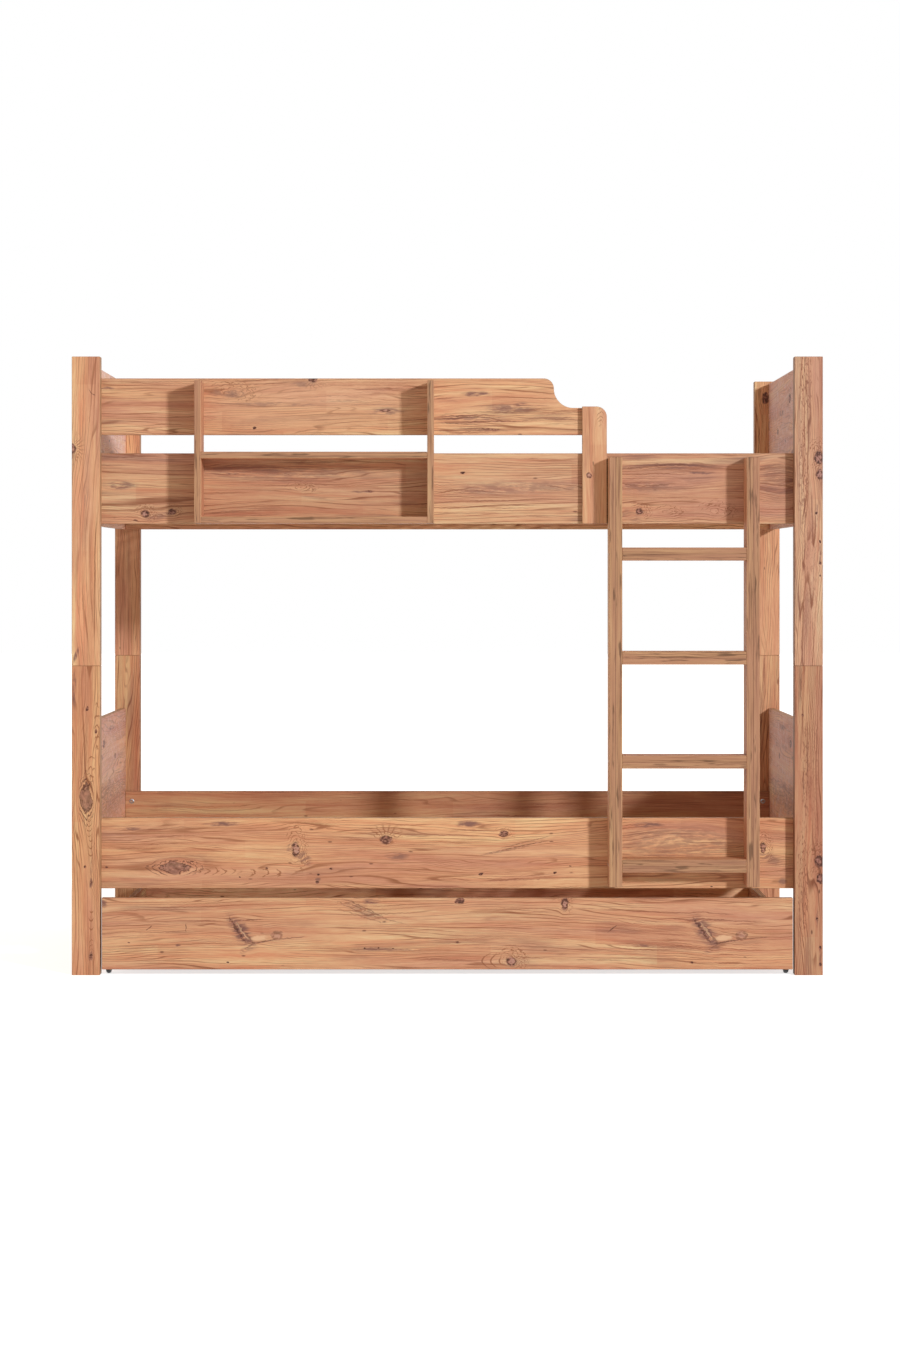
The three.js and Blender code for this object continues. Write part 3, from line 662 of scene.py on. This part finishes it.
UPPER_RAIL_MARKS = (
    streaks(620, 1405, 140, 15), streaks(590, 1352, 110, 10, 0.6), streaks(150, 1336, 190, 14, 0.45),
    streaks(-560, 1400, 130, 14, 0.5), streaks(-380, 1420, 120, 10, 0.5), streaks(900, 1400, 60, 20, 0.6),
    streaks(-880, 1436, 90, 5, 0.7), grey_patch(-909, 1356, 46, 13, 0.8), knot(-839, 1276, 13, 11, 0.5, 2.2),
    knot(-764, 1282, 12, 9, 0.3, 1.8), grey_patch(-800, 1270, 40, 9, 0.5, turn=12),
    grey_patch(-590, 1434, 30, 4, 1.0), grey_patch(-560, 1395, 120, 22, 0.4), grey_patch(-593, 1388, 24, 4, 0.9),
    almond(-408, 1349, 26, 9, 1.3), dot(-216, 1338, 5), grey_patch(-235, 1338, 30, 4, 0.8), dot(42, 1390, 5),
    dot(-550, 1265, 4), grey_patch(220, 1350, 190, 18, 0.5), grey_patch(-450, 1385, 200, 22, 0.4),
    grey_patch(610, 1375, 150, 34, 0.15), grey_patch(925, 1370, 50, 60, 0.45), grey_patch(120, 1338, 90, 10, 0.4),
    knot(533, 1283, 12, 9, 0.4, 2.4), grey_patch(500, 1276, 40, 12, 0.5, turn=-30),
    almond(610, 1282, 22, 9, 1.6), almond(745, 1284, 24, 12, 1.8), grey_patch(700, 1390, 44, 4, 1.0),
    grey_patch(560, 1352, 110, 16, 0.45), grey_patch(640, 1408, 130, 9, 0.5), grey_patch(500, 1405, 60, 7, 0.5),
)
POST_LEFT_LOWER_MARKS = (
    eye(489, -998, 44, 19), arches(412, -990, 40, 11, -14), arches(575, -984, 50, 12, 26),
    arches(690, -968, 90, 9, 30), arches(350, -986, 40, 8, -20), arches(150, -984, 40, 9, -24),
    arches(85, -984, 30, 6, 14), grey_patch(53, -984, 12, 6, 1.0), dot(53, -984, 6),
    grey_patch(256, -984, 14, 5, 1.0), dot(256, -984, 4), dot(299, -1002, 4), grey_patch(310, -984, 44, 3, 0.5),
    dot(674, -971, 5), dot(736, -995, 5), grey_patch(790, -1031, 50, 5, 1.0),
)
POST_LEFT_UPPER_MARKS = (
    lined(1180, -977, 340, 11, 1.0), lined(1560, -975, 150, 8, 0.6), flush(1010, -1012, 190, 22),
    flush(1330, -1014, 170, 20), flush(1560, -1016, 110, 18, 0.5),
    knot(1456, -1034, 14, 9, heart=0.5, fan=1.4), grey_patch(1440, -1034, 40, 7, 0.5),
    scratch(1610, -983, 13, -40), grey_patch(885, -1026, 22, 5, 0.9, turn=20), grey_patch(1330, -1000, 30, 7, 0.4),
)
POST_RIGHT_LOWER_MARKS = (
    flecked(260, 983, 190, 17), flecked(560, 992, 150, 14, 0.6), flecked(500, 1015, 330, 14, 0.3),
    streaks(580, 988, 120, 13, 0.6), streaks(800, 975, 60, 8, 0.5), knot(315, 1029, 18, 14, 0.5, 2.4),
    knot(268, 1031, 14, 11, 0.5, 2.4), grey_patch(158, 1022, 26, 4, 0.8), dot(158, 1022, 4), dot(76, 1031, 5),
    dot(29, 1031, 5), grey_patch(52, 1030, 30, 4, 0.6), dot(720, 982, 4),
)
POST_RIGHT_UPPER_MARKS = (
    flecked(1400, 984, 190, 17), flecked(1640, 990, 110, 20, 0.8), flecked(1100, 1000, 200, 26, 0.3),
    streaks(1560, 1000, 130, 8, 0.5), knot(1431, 1028, 18, 14, 0.5, 2.4),
    knot(1384, 1030, 14, 11, 0.5, 2.4), grey_patch(1270, 1021, 30, 4, 0.8), dot(1278, 1020, 4),
    dot(1200, 1031, 5), dot(1140, 1031, 5), dot(1106, 1031, 3), grey_patch(1165, 1030, 30, 4, 0.6),
)
LOWER_PANEL_MARKS = (
    knot(-40, 612, 24, 12, 0.5, 2.0), knot(230, 560, 15, 9, 0.4), dot(-220, 530, 6),
    grey_patch(150, 650, 70, 8), grey_patch(-120, 575, 60, 9), grey_patch(0, 450, 640, 55, 0.5),
    streaks(-60, 470, 300, 18, 0.5),
)
UPPER_PANEL_MARKS = (
    knot(-20, 1623, 26, 14, 0.5, 2.0), knot(270, 1540, 15, 9, 0.4), dot(-200, 1552, 6), dot(90, 1505, 6),
    grey_patch(-110, 1462, 80, 9), grey_patch(180, 1592, 70, 8), streaks(60, 1430, 220, 14, 0.4),
)
GUARD_UPRIGHT_MARKS = (
    knot(1382, 393, 9, 9, 0.8), arches(1545, 424, 30, 12, 12),
)

# Each board's finish. Its place in the list, from 1, is the seed of its grain
BOARD_FINISHES = {
    "lower_rail_front": dict(marks=LOWER_RAIL_MARKS, tint_and_painted_light=(0.99, 1.03, 1.0)),
    "upper_rail_front": dict(marks=UPPER_RAIL_MARKS, smudges=0.5, tint_and_painted_light=(0.885, 0.935, 0.985)),
    "guard_board": dict(marks=GUARD_MARKS, tint_and_painted_light=(1.0, 1.07, 1.08)),
    "trundle_front": dict(marks=DRAWER_MARKS, tint_and_painted_light=(0.885, 0.885, 0.905)),
    # The lower back rail's tint darkens it as painted shade, and the upper back rail's and the drawer back's
    # tints lighten them as painted light
    "lower_rail_back": dict(lines=0.6, tint_and_painted_light=(0.74, 0.69, 0.67)),
    "upper_rail_back": dict(tint_and_painted_light=(1.15, 1.22, 1.28)),
    "trundle_back": dict(tint_and_painted_light=(1.2, 1.22, 1.24)),
    "lower_post_front_left": dict(marks=POST_LEFT_LOWER_MARKS, dashes=0.3, smudges=0.15, lines=1.1,
                                  tint_and_painted_light=(0.97, 0.97, 0.91)),
    "upper_post_front_left": dict(marks=POST_LEFT_UPPER_MARKS, dashes=0.3, smudges=0.15, lines=0.8,
                                  tint_and_painted_light=(1.02, 1.06, 1.04)),
    "lower_post_front_right": dict(marks=POST_RIGHT_LOWER_MARKS, lines=1.2, tint_and_painted_light=(0.69, 0.64, 0.67)),
    "upper_post_front_right": dict(marks=POST_RIGHT_UPPER_MARKS, lines=1.2, tint_and_painted_light=(0.85, 0.90, 1.01)),
    # The lower left back post's tint darkens it as painted shade
    "lower_post_back_left": dict(tint_and_painted_light=(0.80, 0.74, 0.71)),
    "upper_post_back_left": dict(),
    "lower_post_back_right": dict(tint_and_painted_light=(0.88, 0.84, 0.84)),
    "upper_post_back_right": dict(marks=[knot(1659, 994, 19, 12, fan=1.4)]),
    "guard_upright": dict(marks=GUARD_UPRIGHT_MARKS, dashes=0.2, lines=0.6, tint_and_painted_light=(0.965, 1.0, 1.0)),
    # On the end panels' inner faces the pink wash is a painted sheen, and the tints above 1 lighten them as
    # painted light
    "lower_end_panel_left": dict(inward=1, marks=LOWER_PANEL_MARKS, painted_sheen=0.4, tint_and_painted_light=(1.06, 1.03, 1.05)),
    "lower_end_panel_right": dict(inward=-1, marks=LOWER_PANEL_MARKS, painted_sheen=0.4, tint_and_painted_light=(1.20, 1.30, 1.46)),
    "upper_end_panel_left": dict(inward=1, marks=UPPER_PANEL_MARKS, painted_sheen=0.5, tint_and_painted_light=(1.42, 1.56, 1.80)),
    "upper_end_panel_right": dict(inward=-1, marks=UPPER_PANEL_MARKS, painted_sheen=0.5, tint_and_painted_light=(1.19, 1.30, 1.52)),
    "shelf_side_left": dict(tint_and_painted_light=(0.96, 0.93, 0.96)),
    "shelf_side_right": dict(tint_and_painted_light=(0.96, 0.97, 0.98)),
    "shelf_top": dict(),
    "shelf_bottom": dict(),
    "ladder_upright_left": dict(tint_and_painted_light=(0.95, 0.95, 0.94)),
    "ladder_upright_right": dict(tint_and_painted_light=(0.92, 0.89, 0.91)),
    "ladder_rung_1": dict(tint_and_painted_light=(0.90, 0.89, 0.88)),
    "ladder_rung_2": dict(tint_and_painted_light=(0.92, 0.90, 0.89)),
    "ladder_rung_3": dict(tint_and_painted_light=(0.97, 0.94, 0.94)),
    "ladder_rung_4": dict(tint_and_painted_light=(0.94, 0.92, 0.92)),
    "trundle_side_left": dict(),
    "trundle_side_right": dict(),
    "trundle_base": dict(),
}
# The axes of the grain and of the thickness, by the first of these words that is in the node's name
LAYS = (("_post_", "zy"), ("guard_upright", "zy"), ("end_panel", "yx"), ("trundle_side", "yx"),
        ("shelf_side", "zx"), ("ladder_upright", "zx"), ("shelf_", "xz"), ("ladder_rung", "xz"),
        ("trundle_base", "xz"), ("", "xy"))


def dress(node, material):
    nodes[node].data.materials.clear()
    nodes[node].data.materials.append(material)


for seed, (node, finish) in enumerate(BOARD_FINISHES.items(), 1):
    grain, through = next(axes for word, axes in LAYS if word in node)
    if "_post_" in node or "ladder_" in node:
        finish["seam"] = middle(node)[AXES.index(through)]
    dress(node, pine_decor(node + "_decor", grain, through, seed, **finish))

for number, node in enumerate(f"{tier}_ledge_{where}" for tier in TIERS for where in INWARD):
    dress(node, slat_wood(node + "_wood", "x", "y", number))
dress("trundle_batten", slat_wood("trundle_batten_wood", "y", "z", 4))

STEEL = metal("zinc_plated_steel")
BLACK = plastic("black_plastic", tone(26, 26, 28), tone(52, 52, 54), 0.5)
WHEEL = plastic("wheel_plastic", tone(20, 20, 22), tone(44, 43, 42), 0.34)
FITTINGS = {"post_pin": STEEL, "ladder_bolt": STEEL, "castor_axle": STEEL, "castor_fork": BLACK,
            "castor_wheel": WHEEL}
for node in nodes:
    for start, finish in FITTINGS.items():
        if node.startswith(start):
            dress(node, finish)


# Small parts: turned shapes, screw heads and staples

def spot(centre, direction):
    """The place of a small part, in metres, with its own Z along a direction."""
    turn = Vector((0.0, 0.0, 1.0)).rotation_difference(Vector(direction))
    return Matrix.Translation(centre) @ turn.to_matrix().to_4x4()


def turned(shape, profile, sides, place, closed=False):
    """Adds a turned body. The profile holds radius and height in millimetres, along the part's own Z."""
    rings = []
    for radius, height in profile:
        around = [2 * math.pi * i / sides for i in range(sides if radius > 0 else 1)]
        points = [Vector((radius * math.cos(a), radius * math.sin(a), height)) * MM for a in around]
        rings.append([shape.verts.new(place @ point) for point in points])
    following = rings[1:] + ([rings[0]] if closed else [])
    for lower, upper in zip(rings, following):
        for i in range(sides):
            j = (i + 1) % sides
            square = ((lower, i), (lower, j), (upper, j), (upper, i))
            corners = [ring[k % len(ring)] for ring, k in square]
            shape.faces.new(tuple(dict.fromkeys(corners)))
    return rings


def headed(shape, kind, centre, direction):
    """Adds a turned body with a recess in its flat top. Its profile ends at the rim of that top."""
    profile, sides, recess, depth = kind
    place = spot(centre, direction)
    rim = turned(shape, profile, sides, place)[-1]
    top = profile[-1][1]
    mouth = [shape.verts.new(place @ (Vector((x, y, top)) * MM)) for x, y in recess]
    bottom = [shape.verts.new(place @ (Vector((x * 0.8, y * 0.8, top - depth)) * MM)) for x, y in recess]
    around = [(i, (i + 1) % len(mouth)) for i in range(len(mouth))]
    for i, j in around:
        shape.faces.new((mouth[i], mouth[j], bottom[j], bottom[i]))
    shape.faces.new(bottom)
    loops = [shape.edges.get((rim[i], rim[(i + 1) % sides])) for i in range(sides)]
    loops += [shape.edges.get((mouth[i], mouth[j])) for i, j in around]
    bmesh.ops.triangle_fill(shape, use_beauty=True, edges=loops)


def cross(arm, width):
    """Outline of a cross recess, from the length of an arm and half its width."""
    quarter = [(width, width), (width, arm), (-width, arm)]
    outline = []
    for turns in range(4):
        c, s = math.cos(turns * math.pi / 2), math.sin(turns * math.pi / 2)
        outline += [(x * c - y * s, x * s + y * c) for x, y in quarter]
    return outline


def hexagon(radius):
    return [(radius * math.cos(i * math.pi / 3), radius * math.sin(i * math.pi / 3)) for i in range(6)]


def block(shape, low, high, rounding=0.0, segments=2):
    """Adds a block between two corners, with its edges rounded."""
    made = bmesh.ops.create_cube(shape, size=1.0)["verts"]
    size = [b - a for a, b in zip(low, high)]
    centre = [(a + b) / 2 for a, b in zip(low, high)]
    bmesh.ops.scale(shape, vec=size, verts=made)
    bmesh.ops.translate(shape, vec=centre, verts=made)
    if rounding:
        edges = list({edge for vert in made for edge in vert.link_edges})
        bmesh.ops.bevel(shape, geom=edges, offset=rounding, segments=segments, affect="EDGES", profile=0.5)


SMOOTH_ANGLE = math.radians(38)


def finished(name, shape, body, material, replaced=()):
    """Makes a piece of a shape. It rides on a body and may take the place of CAD nodes."""
    bmesh.ops.recalc_face_normals(shape, faces=shape.faces)
    mesh = bpy.data.meshes.new(name)
    shape.to_mesh(mesh)
    shape.free()
    mesh.shade_smooth()
    mesh.set_sharp_from_angle(angle=SMOOTH_ANGLE)
    mesh.materials.append(material)
    piece = put(name, mesh)
    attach(piece, body)
    if replaced:
        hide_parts(*replaced)


# Each kind's profile, its sides, and its recess with the depth of that, in millimetres
CAM_LOCK = ([(0, -2), (7.5, -2), (7.5, 0.3), (7.1, 0.6)], 32, cross(4.4, 0.9), 1.8)
SCREW = ([(0, -2), (2, -2), (3.9, -0.1), (3.9, 0.1), (3.6, 0.25)], 20, cross(2.1, 0.45), 1.4)
CONFIRMAT = ([(0, -2), (3.4, -2), (3.4, -0.1), (3.1, 0.2)], 20, hexagon(2.0), 1.4)
PAN_PROFILE = [(0, -2), (2, -2), (2, 0), (3.7, 0), (3.6, 0.7), (3.1, 1.3), (2.3, 1.6)]
PAN_SCREW = (PAN_PROFILE, 20, cross(1.6, 0.35), 1.0)

CAM_FROM_END = 20 * MM
CAM_FROM_EDGE = 31 * MM
CAM_PITCH = 96 * MM
LEDGE_SCREW_COUNT = 9
UPRIGHT_SCREWS = (22 * MM, 52 * MM)  # over the guard board's lower edge
SHELF_SCREWS = (35 * MM, 115 * MM)
RAIL_SCREWS = (40 * MM, 110 * MM)  # under the rail's top
RUNG_SCREW_INSET = 22 * MM
DRAWER_CAM_DROP = 25 * MM  # under the side's top
DRAWER_CAM_RISE = 15 * MM  # over the drawer's floor
BACK_SCREW_DROP = 20 * MM
BACK_SCREW_RISE = 40 * MM
BASE_SCREW_COUNT = 4
PLATE_SCREW_INSET = 5 * MM
PLATE_THICKNESS = 2.5 * MM


def spread(low, high, count):
    """Evenly spaced places between two ends, with half a step left over at both."""
    return [low + (i + 0.5) * (high - low) / count for i in range(count)]


def inner_face(node, where):
    """Y of the face that a front or back board turns to the middle of the bed."""
    low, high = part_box(node)
    return high[1] if where == "front" else low[1]


def rail_fasteners(shape):
    """Cam locks near both ends of each rail, and screws along each ledge."""
    for tier in TIERS:
        for where, inward in INWARD.items():
            rail, ledge = f"{tier}_rail_{where}", f"{tier}_ledge_{where}"
            low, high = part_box(rail)
            face = inner_face(rail, where)
            for x in (low[0] + CAM_FROM_END, high[0] - CAM_FROM_END):
                for z in (high[2] - CAM_FROM_EDGE, high[2] - CAM_FROM_EDGE - CAM_PITCH):
                    headed(shape, CAM_LOCK, (x, face, z), (0.0, inward, 0.0))
            low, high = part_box(ledge)
            face = inner_face(ledge, where)
            for x in spread(low[0], high[0], LEDGE_SCREW_COUNT):
                headed(shape, SCREW, (x, face, middle(ledge)[2]), (0.0, inward, 0.0))


def guard_fasteners(shape):
    """Cam locks at the guard board's left end, and screws into the upright and the shelf unit's sides."""
    guard_low, guard_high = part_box("guard_board")
    _low, rail_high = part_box("upper_rail_front")
    backward = (0.0, 1.0, 0.0)
    for z in (guard_low[2] + CAM_FROM_EDGE, guard_low[2] + CAM_FROM_EDGE + CAM_PITCH):
        headed(shape, CAM_LOCK, (guard_low[0] + CAM_FROM_END, guard_high[1], z), backward)
    for node in ("guard_upright", "shelf_side_left", "shelf_side_right"):
        x = middle(node)[0]
        for rise in SHELF_SCREWS if "shelf" in node else UPRIGHT_SCREWS:
            headed(shape, CONFIRMAT, (x, guard_high[1], guard_low[2] + rise), backward)
        for drop in RAIL_SCREWS:
            headed(shape, CONFIRMAT, (x, rail_high[1], rail_high[2] - drop), backward)


def ladder_fasteners(shape):
    """Two screws through each upright into each end of a rung."""
    for side, outward in SIDEWAYS.items():
        low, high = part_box("ladder_upright_" + side)
        face = low[0] if side == "left" else high[0]
        for number in (1, 2, 3, 4):
            z = middle(f"ladder_rung_{number}")[2]
            for y in (low[1] + RUNG_SCREW_INSET, high[1] - RUNG_SCREW_INSET):
                headed(shape, CONFIRMAT, (face, y, z), (outward, 0.0, 0.0))


def drawer_fasteners(shape):
    """Cam locks behind the drawer front, and screws in its sides, its batten and the castor plates."""
    base_low, base_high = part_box("trundle_base")
    base_z = middle("trundle_base")[2]
    back_y = middle("trundle_back")[1]
    for side, outward in SIDEWAYS.items():
        low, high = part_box("trundle_side_" + side)
        outer, inner = (low[0], high[0]) if side == "left" else (high[0], low[0])
        for z in (high[2] - DRAWER_CAM_DROP, base_high[2] + DRAWER_CAM_RISE):
            headed(shape, CAM_LOCK, (inner, low[1] + CAM_FROM_END, z), (-outward, 0.0, 0.0))
        for z in (high[2] - BACK_SCREW_DROP, low[2] + BACK_SCREW_RISE):
            headed(shape, CONFIRMAT, (outer, back_y, z), (outward, 0.0, 0.0))
        for y in spread(base_low[1], base_high[1], BASE_SCREW_COUNT):
            headed(shape, CONFIRMAT, (outer, y, base_z), (outward, 0.0, 0.0))
    down = (0.0, 0.0, -1.0)
    low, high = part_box("trundle_batten")
    for y in spread(low[1], high[1], BASE_SCREW_COUNT):
        headed(shape, SCREW, (middle("trundle_batten")[0], y, low[2]), down)
    for corner in CORNERS:
        low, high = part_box("castor_fork_" + corner)
        x = middle("castor_fork_" + corner)[0]
        for y in (low[1] + PLATE_SCREW_INSET, high[1] - PLATE_SCREW_INSET):
            headed(shape, PAN_SCREW, (x, y, high[2] - PLATE_THICKNESS), down)


BED_FASTENERS = bmesh.new()
rail_fasteners(BED_FASTENERS)
guard_fasteners(BED_FASTENERS)
ladder_fasteners(BED_FASTENERS)
finished("bed_fasteners", BED_FASTENERS, "bed", STEEL)
DRAWER_FASTENERS = bmesh.new()
drawer_fasteners(DRAWER_FASTENERS)
finished("drawer_fasteners", DRAWER_FASTENERS, "trundle", STEEL)


# Ladder bolts: a domed head with a hexagon socket

BOLT_PROFILE = [(0, -63.6), (3, -63.6), (3, 0), (7, 0), (7, 1.3), (6.6, 2.2), (5.4, 3.0), (3.8, 3.5)]
BOLT = (BOLT_PROFILE, 36, hexagon(2.4), 2.2)
BOLT_HEAD = 3.5 * MM


def ladder_bolts():
    shape = bmesh.new()
    names = [f"ladder_bolt_{tier}_{side}" for tier in TIERS for side in SIDEWAYS]
    for name in names:
        x, _y, z = middle(name)
        _low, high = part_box(name)
        headed(shape, BOLT, (x, high[1] - BOLT_HEAD, z), (0.0, 1.0, 0.0))
    finished("ladder_bolts", shape, "bed", STEEL, names)


ladder_bolts()


# Castors: a wheel with a crowned tread and spokes in its dished sides, on an axle with riveted ends

# The turned profiles are in millimetres
WHEEL_RADIUS = 20.0
TREAD_HALF = 7.0
TREAD_EDGE = 15.0
TREAD_STEPS = 12
CROWN_POWER = 0.6
RIVET = [(3, 11.8), (5, 11.8), (4.8, 12.4), (4.1, 13.1), (2.9, 13.6), (1.4, 13.8), (0, 13.8)]
WHEEL_SIDE = [(12.4, 7), (11.7, 6.7), (11.3, 6), (7.9, 6), (7.3, 6.4), (7, 7.7), (6.7, 8), (3.3, 8)]
SPOKES = 6
SPOKE_ENDS = (6.8 * MM, 11.6 * MM)
SPOKE_HALF = 0.7 * MM
SPOKE_FACES = (5.9 * MM, 6.8 * MM)
SPOKE_ROUNDING = 0.25 * MM


def mirrored(profile):
    return [(radius, -across) for radius, across in reversed(profile)]


def wheel(corner):
    place = spot(middle("castor_wheel_" + corner), (1.0, 0.0, 0.0))
    tread = []
    for i in range(TREAD_STEPS + 1):
        across = TREAD_HALF * math.sin(math.radians(180 / TREAD_STEPS * i - 90))
        crown = (1 - (across / TREAD_HALF) ** 2) ** CROWN_POWER
        tread.append((TREAD_EDGE + (WHEEL_RADIUS - TREAD_EDGE) * crown, across))
    shape = bmesh.new()
    turned(shape, [*mirrored(WHEEL_SIDE), *tread, *WHEEL_SIDE], 64, place, closed=True)
    for number in range(SPOKES):
        turn = Matrix.Rotation(2 * math.pi * number / SPOKES, 4, "Z")
        for across in (-1, 1):
            before = set(shape.verts)
            heights = sorted(across * face for face in SPOKE_FACES)
            low = (SPOKE_ENDS[0], -SPOKE_HALF, heights[0])
            block(shape, low, (SPOKE_ENDS[1], SPOKE_HALF, heights[1]), SPOKE_ROUNDING)
            bmesh.ops.transform(shape, matrix=place @ turn, verts=list(set(shape.verts) - before))
    name = f"castor_wheel_{corner}_fine"
    finished(name, shape, "wheel_" + corner, WHEEL, ["castor_wheel_" + corner])


def axles():
    shape = bmesh.new()
    names = ["castor_axle_" + corner for corner in CORNERS]
    for name in names:
        turned(shape, mirrored(RIVET) + RIVET, 28, spot(middle(name), (1.0, 0.0, 0.0)))
    finished("castor_axles", shape, "trundle", STEEL, names)


for corner in CORNERS:
    wheel(corner)
axles()


# Slats with rounded edges, on two woven tapes with a staple at each crossing

SLAT_COUNT = 28
SLAT_WIDTH = 38 * MM
SLAT_THICKNESS = 8 * MM
SLAT_ROUNDING = 2.4 * MM
TAPE_WIDTH = 20 * MM
TAPE_OFFSET = 300 * MM
TAPE_THICKNESS = 0.9 * MM
TAPE_GAP = 0.01 * MM
TAPE_ROUNDING = 0.3 * MM
STAPLE_CROWN = (11 * MM, 1.2 * MM, 0.5 * MM)
STAPLE_ROUNDING = 0.2 * MM


def slat_roll(tier, wood):
    low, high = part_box(tier + "_slat_roll")
    pitch = (high[0] - low[0] - SLAT_WIDTH) / (SLAT_COUNT - 1)
    centre_y = (low[1] + high[1]) / 2
    tape_places = (centre_y - TAPE_OFFSET, centre_y + TAPE_OFFSET)
    under = high[2] - SLAT_THICKNESS
    slats = bmesh.new()
    staples = bmesh.new()
    for i in range(SLAT_COUNT):
        x = low[0] + i * pitch
        block(slats, (x, low[1], under), (x + SLAT_WIDTH, high[1], high[2]), SLAT_ROUNDING, 3)
        for y in tape_places:
            centre = (x + SLAT_WIDTH / 2, y, under - TAPE_THICKNESS - STAPLE_CROWN[2] / 4)
            corners = [[c + way * size / 2 for c, size in zip(centre, STAPLE_CROWN)] for way in (-1, 1)]
            block(staples, corners[0], corners[1], STAPLE_ROUNDING)
    finished(tier + "_slats", slats, "bed", wood, [tier + "_slat_roll"])
    finished(tier + "_slat_staples", staples, "bed", STEEL)
    tapes = bmesh.new()
    half = TAPE_WIDTH / 2
    for y in tape_places:
        corner = (low[0], y - half, under - TAPE_THICKNESS)
        block(tapes, corner, (high[0], y + half, under - TAPE_GAP), TAPE_ROUNDING)
    finished(tier + "_slat_tapes", tapes, "bed", TAPE)


TAPE = webbing("slat_tape")
for number, tier in enumerate(TIERS, 5):
    slat_roll(tier, slat_wood(tier + "_slat_wood", "y", "z", number))


# Softened edges on the boards and the pressed forks

BOARD_EDGE = 0.7 * MM
FORK_EDGE = 0.5 * MM
SHARP_ANGLE = math.radians(40)


def soften(node, width):
    bevel = nodes[node].modifiers.new("softened_edges", "BEVEL")
    bevel.width = width
    bevel.segments = 2
    bevel.limit_method = "ANGLE"
    bevel.angle_limit = SHARP_ANGLE


for node in BOARD_FINISHES:
    soften(node, BOARD_EDGE)
for corner in CORNERS:
    soften("castor_fork_" + corner, FORK_EDGE)


# Floor, light and camera

FLOOR_SIZE = 60.0
FLOOR_DROP = 0.2 * MM  # under the feet and wheels
FLOOR_NEAR = (1.5, 0.70)  # a distance from the bed's middle, and the floor's glow there
FLOOR_FAR = (9.0, 0.85)


def place_floor():
    bpy.ops.mesh.primitive_plane_add(size=FLOOR_SIZE, location=(0.0, 0.0, -FLOOR_DROP))
    floor = bpy.context.object
    floor.name = "floor"
    g = Graph(bpy.data.materials.new("floor_white"))
    point, _normal = g.place()
    strength = g.step(g.vector("LENGTH", point), FLOOR_NEAR[0], FLOOR_FAR[0], FLOOR_NEAR[1], FLOOR_FAR[1])
    paint = g.node("BsdfDiffuse", {"Color": FLOOR_WHITE})
    glow = g.node("Emission", {"Color": WHITE, "Strength": strength * g.seen()})
    g.node("OutputMaterial", {0: g.node("AddShader", {0: paint, 1: glow})})
    floor.data.materials.append(g.owner)


KEY_PLACE = (5.3, -7.6, 3.5)
KEY_RADIUS = 0.4
KEY_STRENGTH = 2.1
KEY_COLOUR = (0.95, 1.0, 1.05)
AMBIENT_COLOUR = (1.0, 0.86, 0.76, 1.0)
AMBIENT_STRENGTH = 0.385
AMBIENT_FILL = 0.55  # how much stronger the even light is from the left, and weaker from the right
AMBIENT_LIFT = 0.35  # how much stronger it is from above


def place_lights():
    """A soft round lamp in front on the right, without fall-off over the bed, and light from all round."""
    lamp = bpy.data.lights.new("key", "POINT")
    lamp.energy = 1.0
    lamp.color = KEY_COLOUR
    lamp.shadow_soft_size = KEY_RADIUS
    lamp.use_nodes = True
    tree = lamp.node_tree
    falloff = tree.nodes.new("ShaderNodeLightFalloff")
    falloff.inputs["Strength"].default_value = KEY_STRENGTH * 4 * math.pi
    tree.links.new(falloff.outputs["Constant"], tree.nodes["Emission"].inputs["Strength"])
    put("key", lamp).location = KEY_PLACE

    world = bpy.data.worlds.new("studio")
    bpy.context.scene.world = world
    g = Graph(world)
    x, _y, z = g.separate(g.node("TexCoord", output="Generated"))
    sideways = g.math("MULTIPLY_ADD", x, -AMBIENT_FILL * AMBIENT_STRENGTH, AMBIENT_STRENGTH)
    strength = g.math("MULTIPLY_ADD", z, AMBIENT_LIFT * AMBIENT_STRENGTH, sideways)
    ambient = g.node("Background", {"Color": AMBIENT_COLOUR, "Strength": strength})
    white = g.node("Background", {"Color": WHITE, "Strength": 1.0})
    g.node("OutputWorld", {"Surface": g.node("MixShader", {0: g.seen(), 1: ambient, 2: white})})


CAMERA_PLACE = (0.0, -8.0273, 1.109)
CAMERA_LENS = 72.85
CAMERA_SHIFT = (0.002, -0.0748)


def place_camera():
    camera = bpy.data.cameras.new("camera")
    camera.sensor_width = 36.0
    camera.sensor_fit = "AUTO"
    camera.lens = CAMERA_LENS
    camera.shift_x, camera.shift_y = CAMERA_SHIFT
    camera.clip_end = 200.0
    holder = put("camera", camera)
    holder.location = CAMERA_PLACE
    holder.rotation_euler = Euler((math.radians(90), 0.0, 0.0))
    bpy.context.scene.camera = holder


place_floor()
place_lights()
place_camera()
bpy.context.scene.view_settings.view_transform = "Standard"
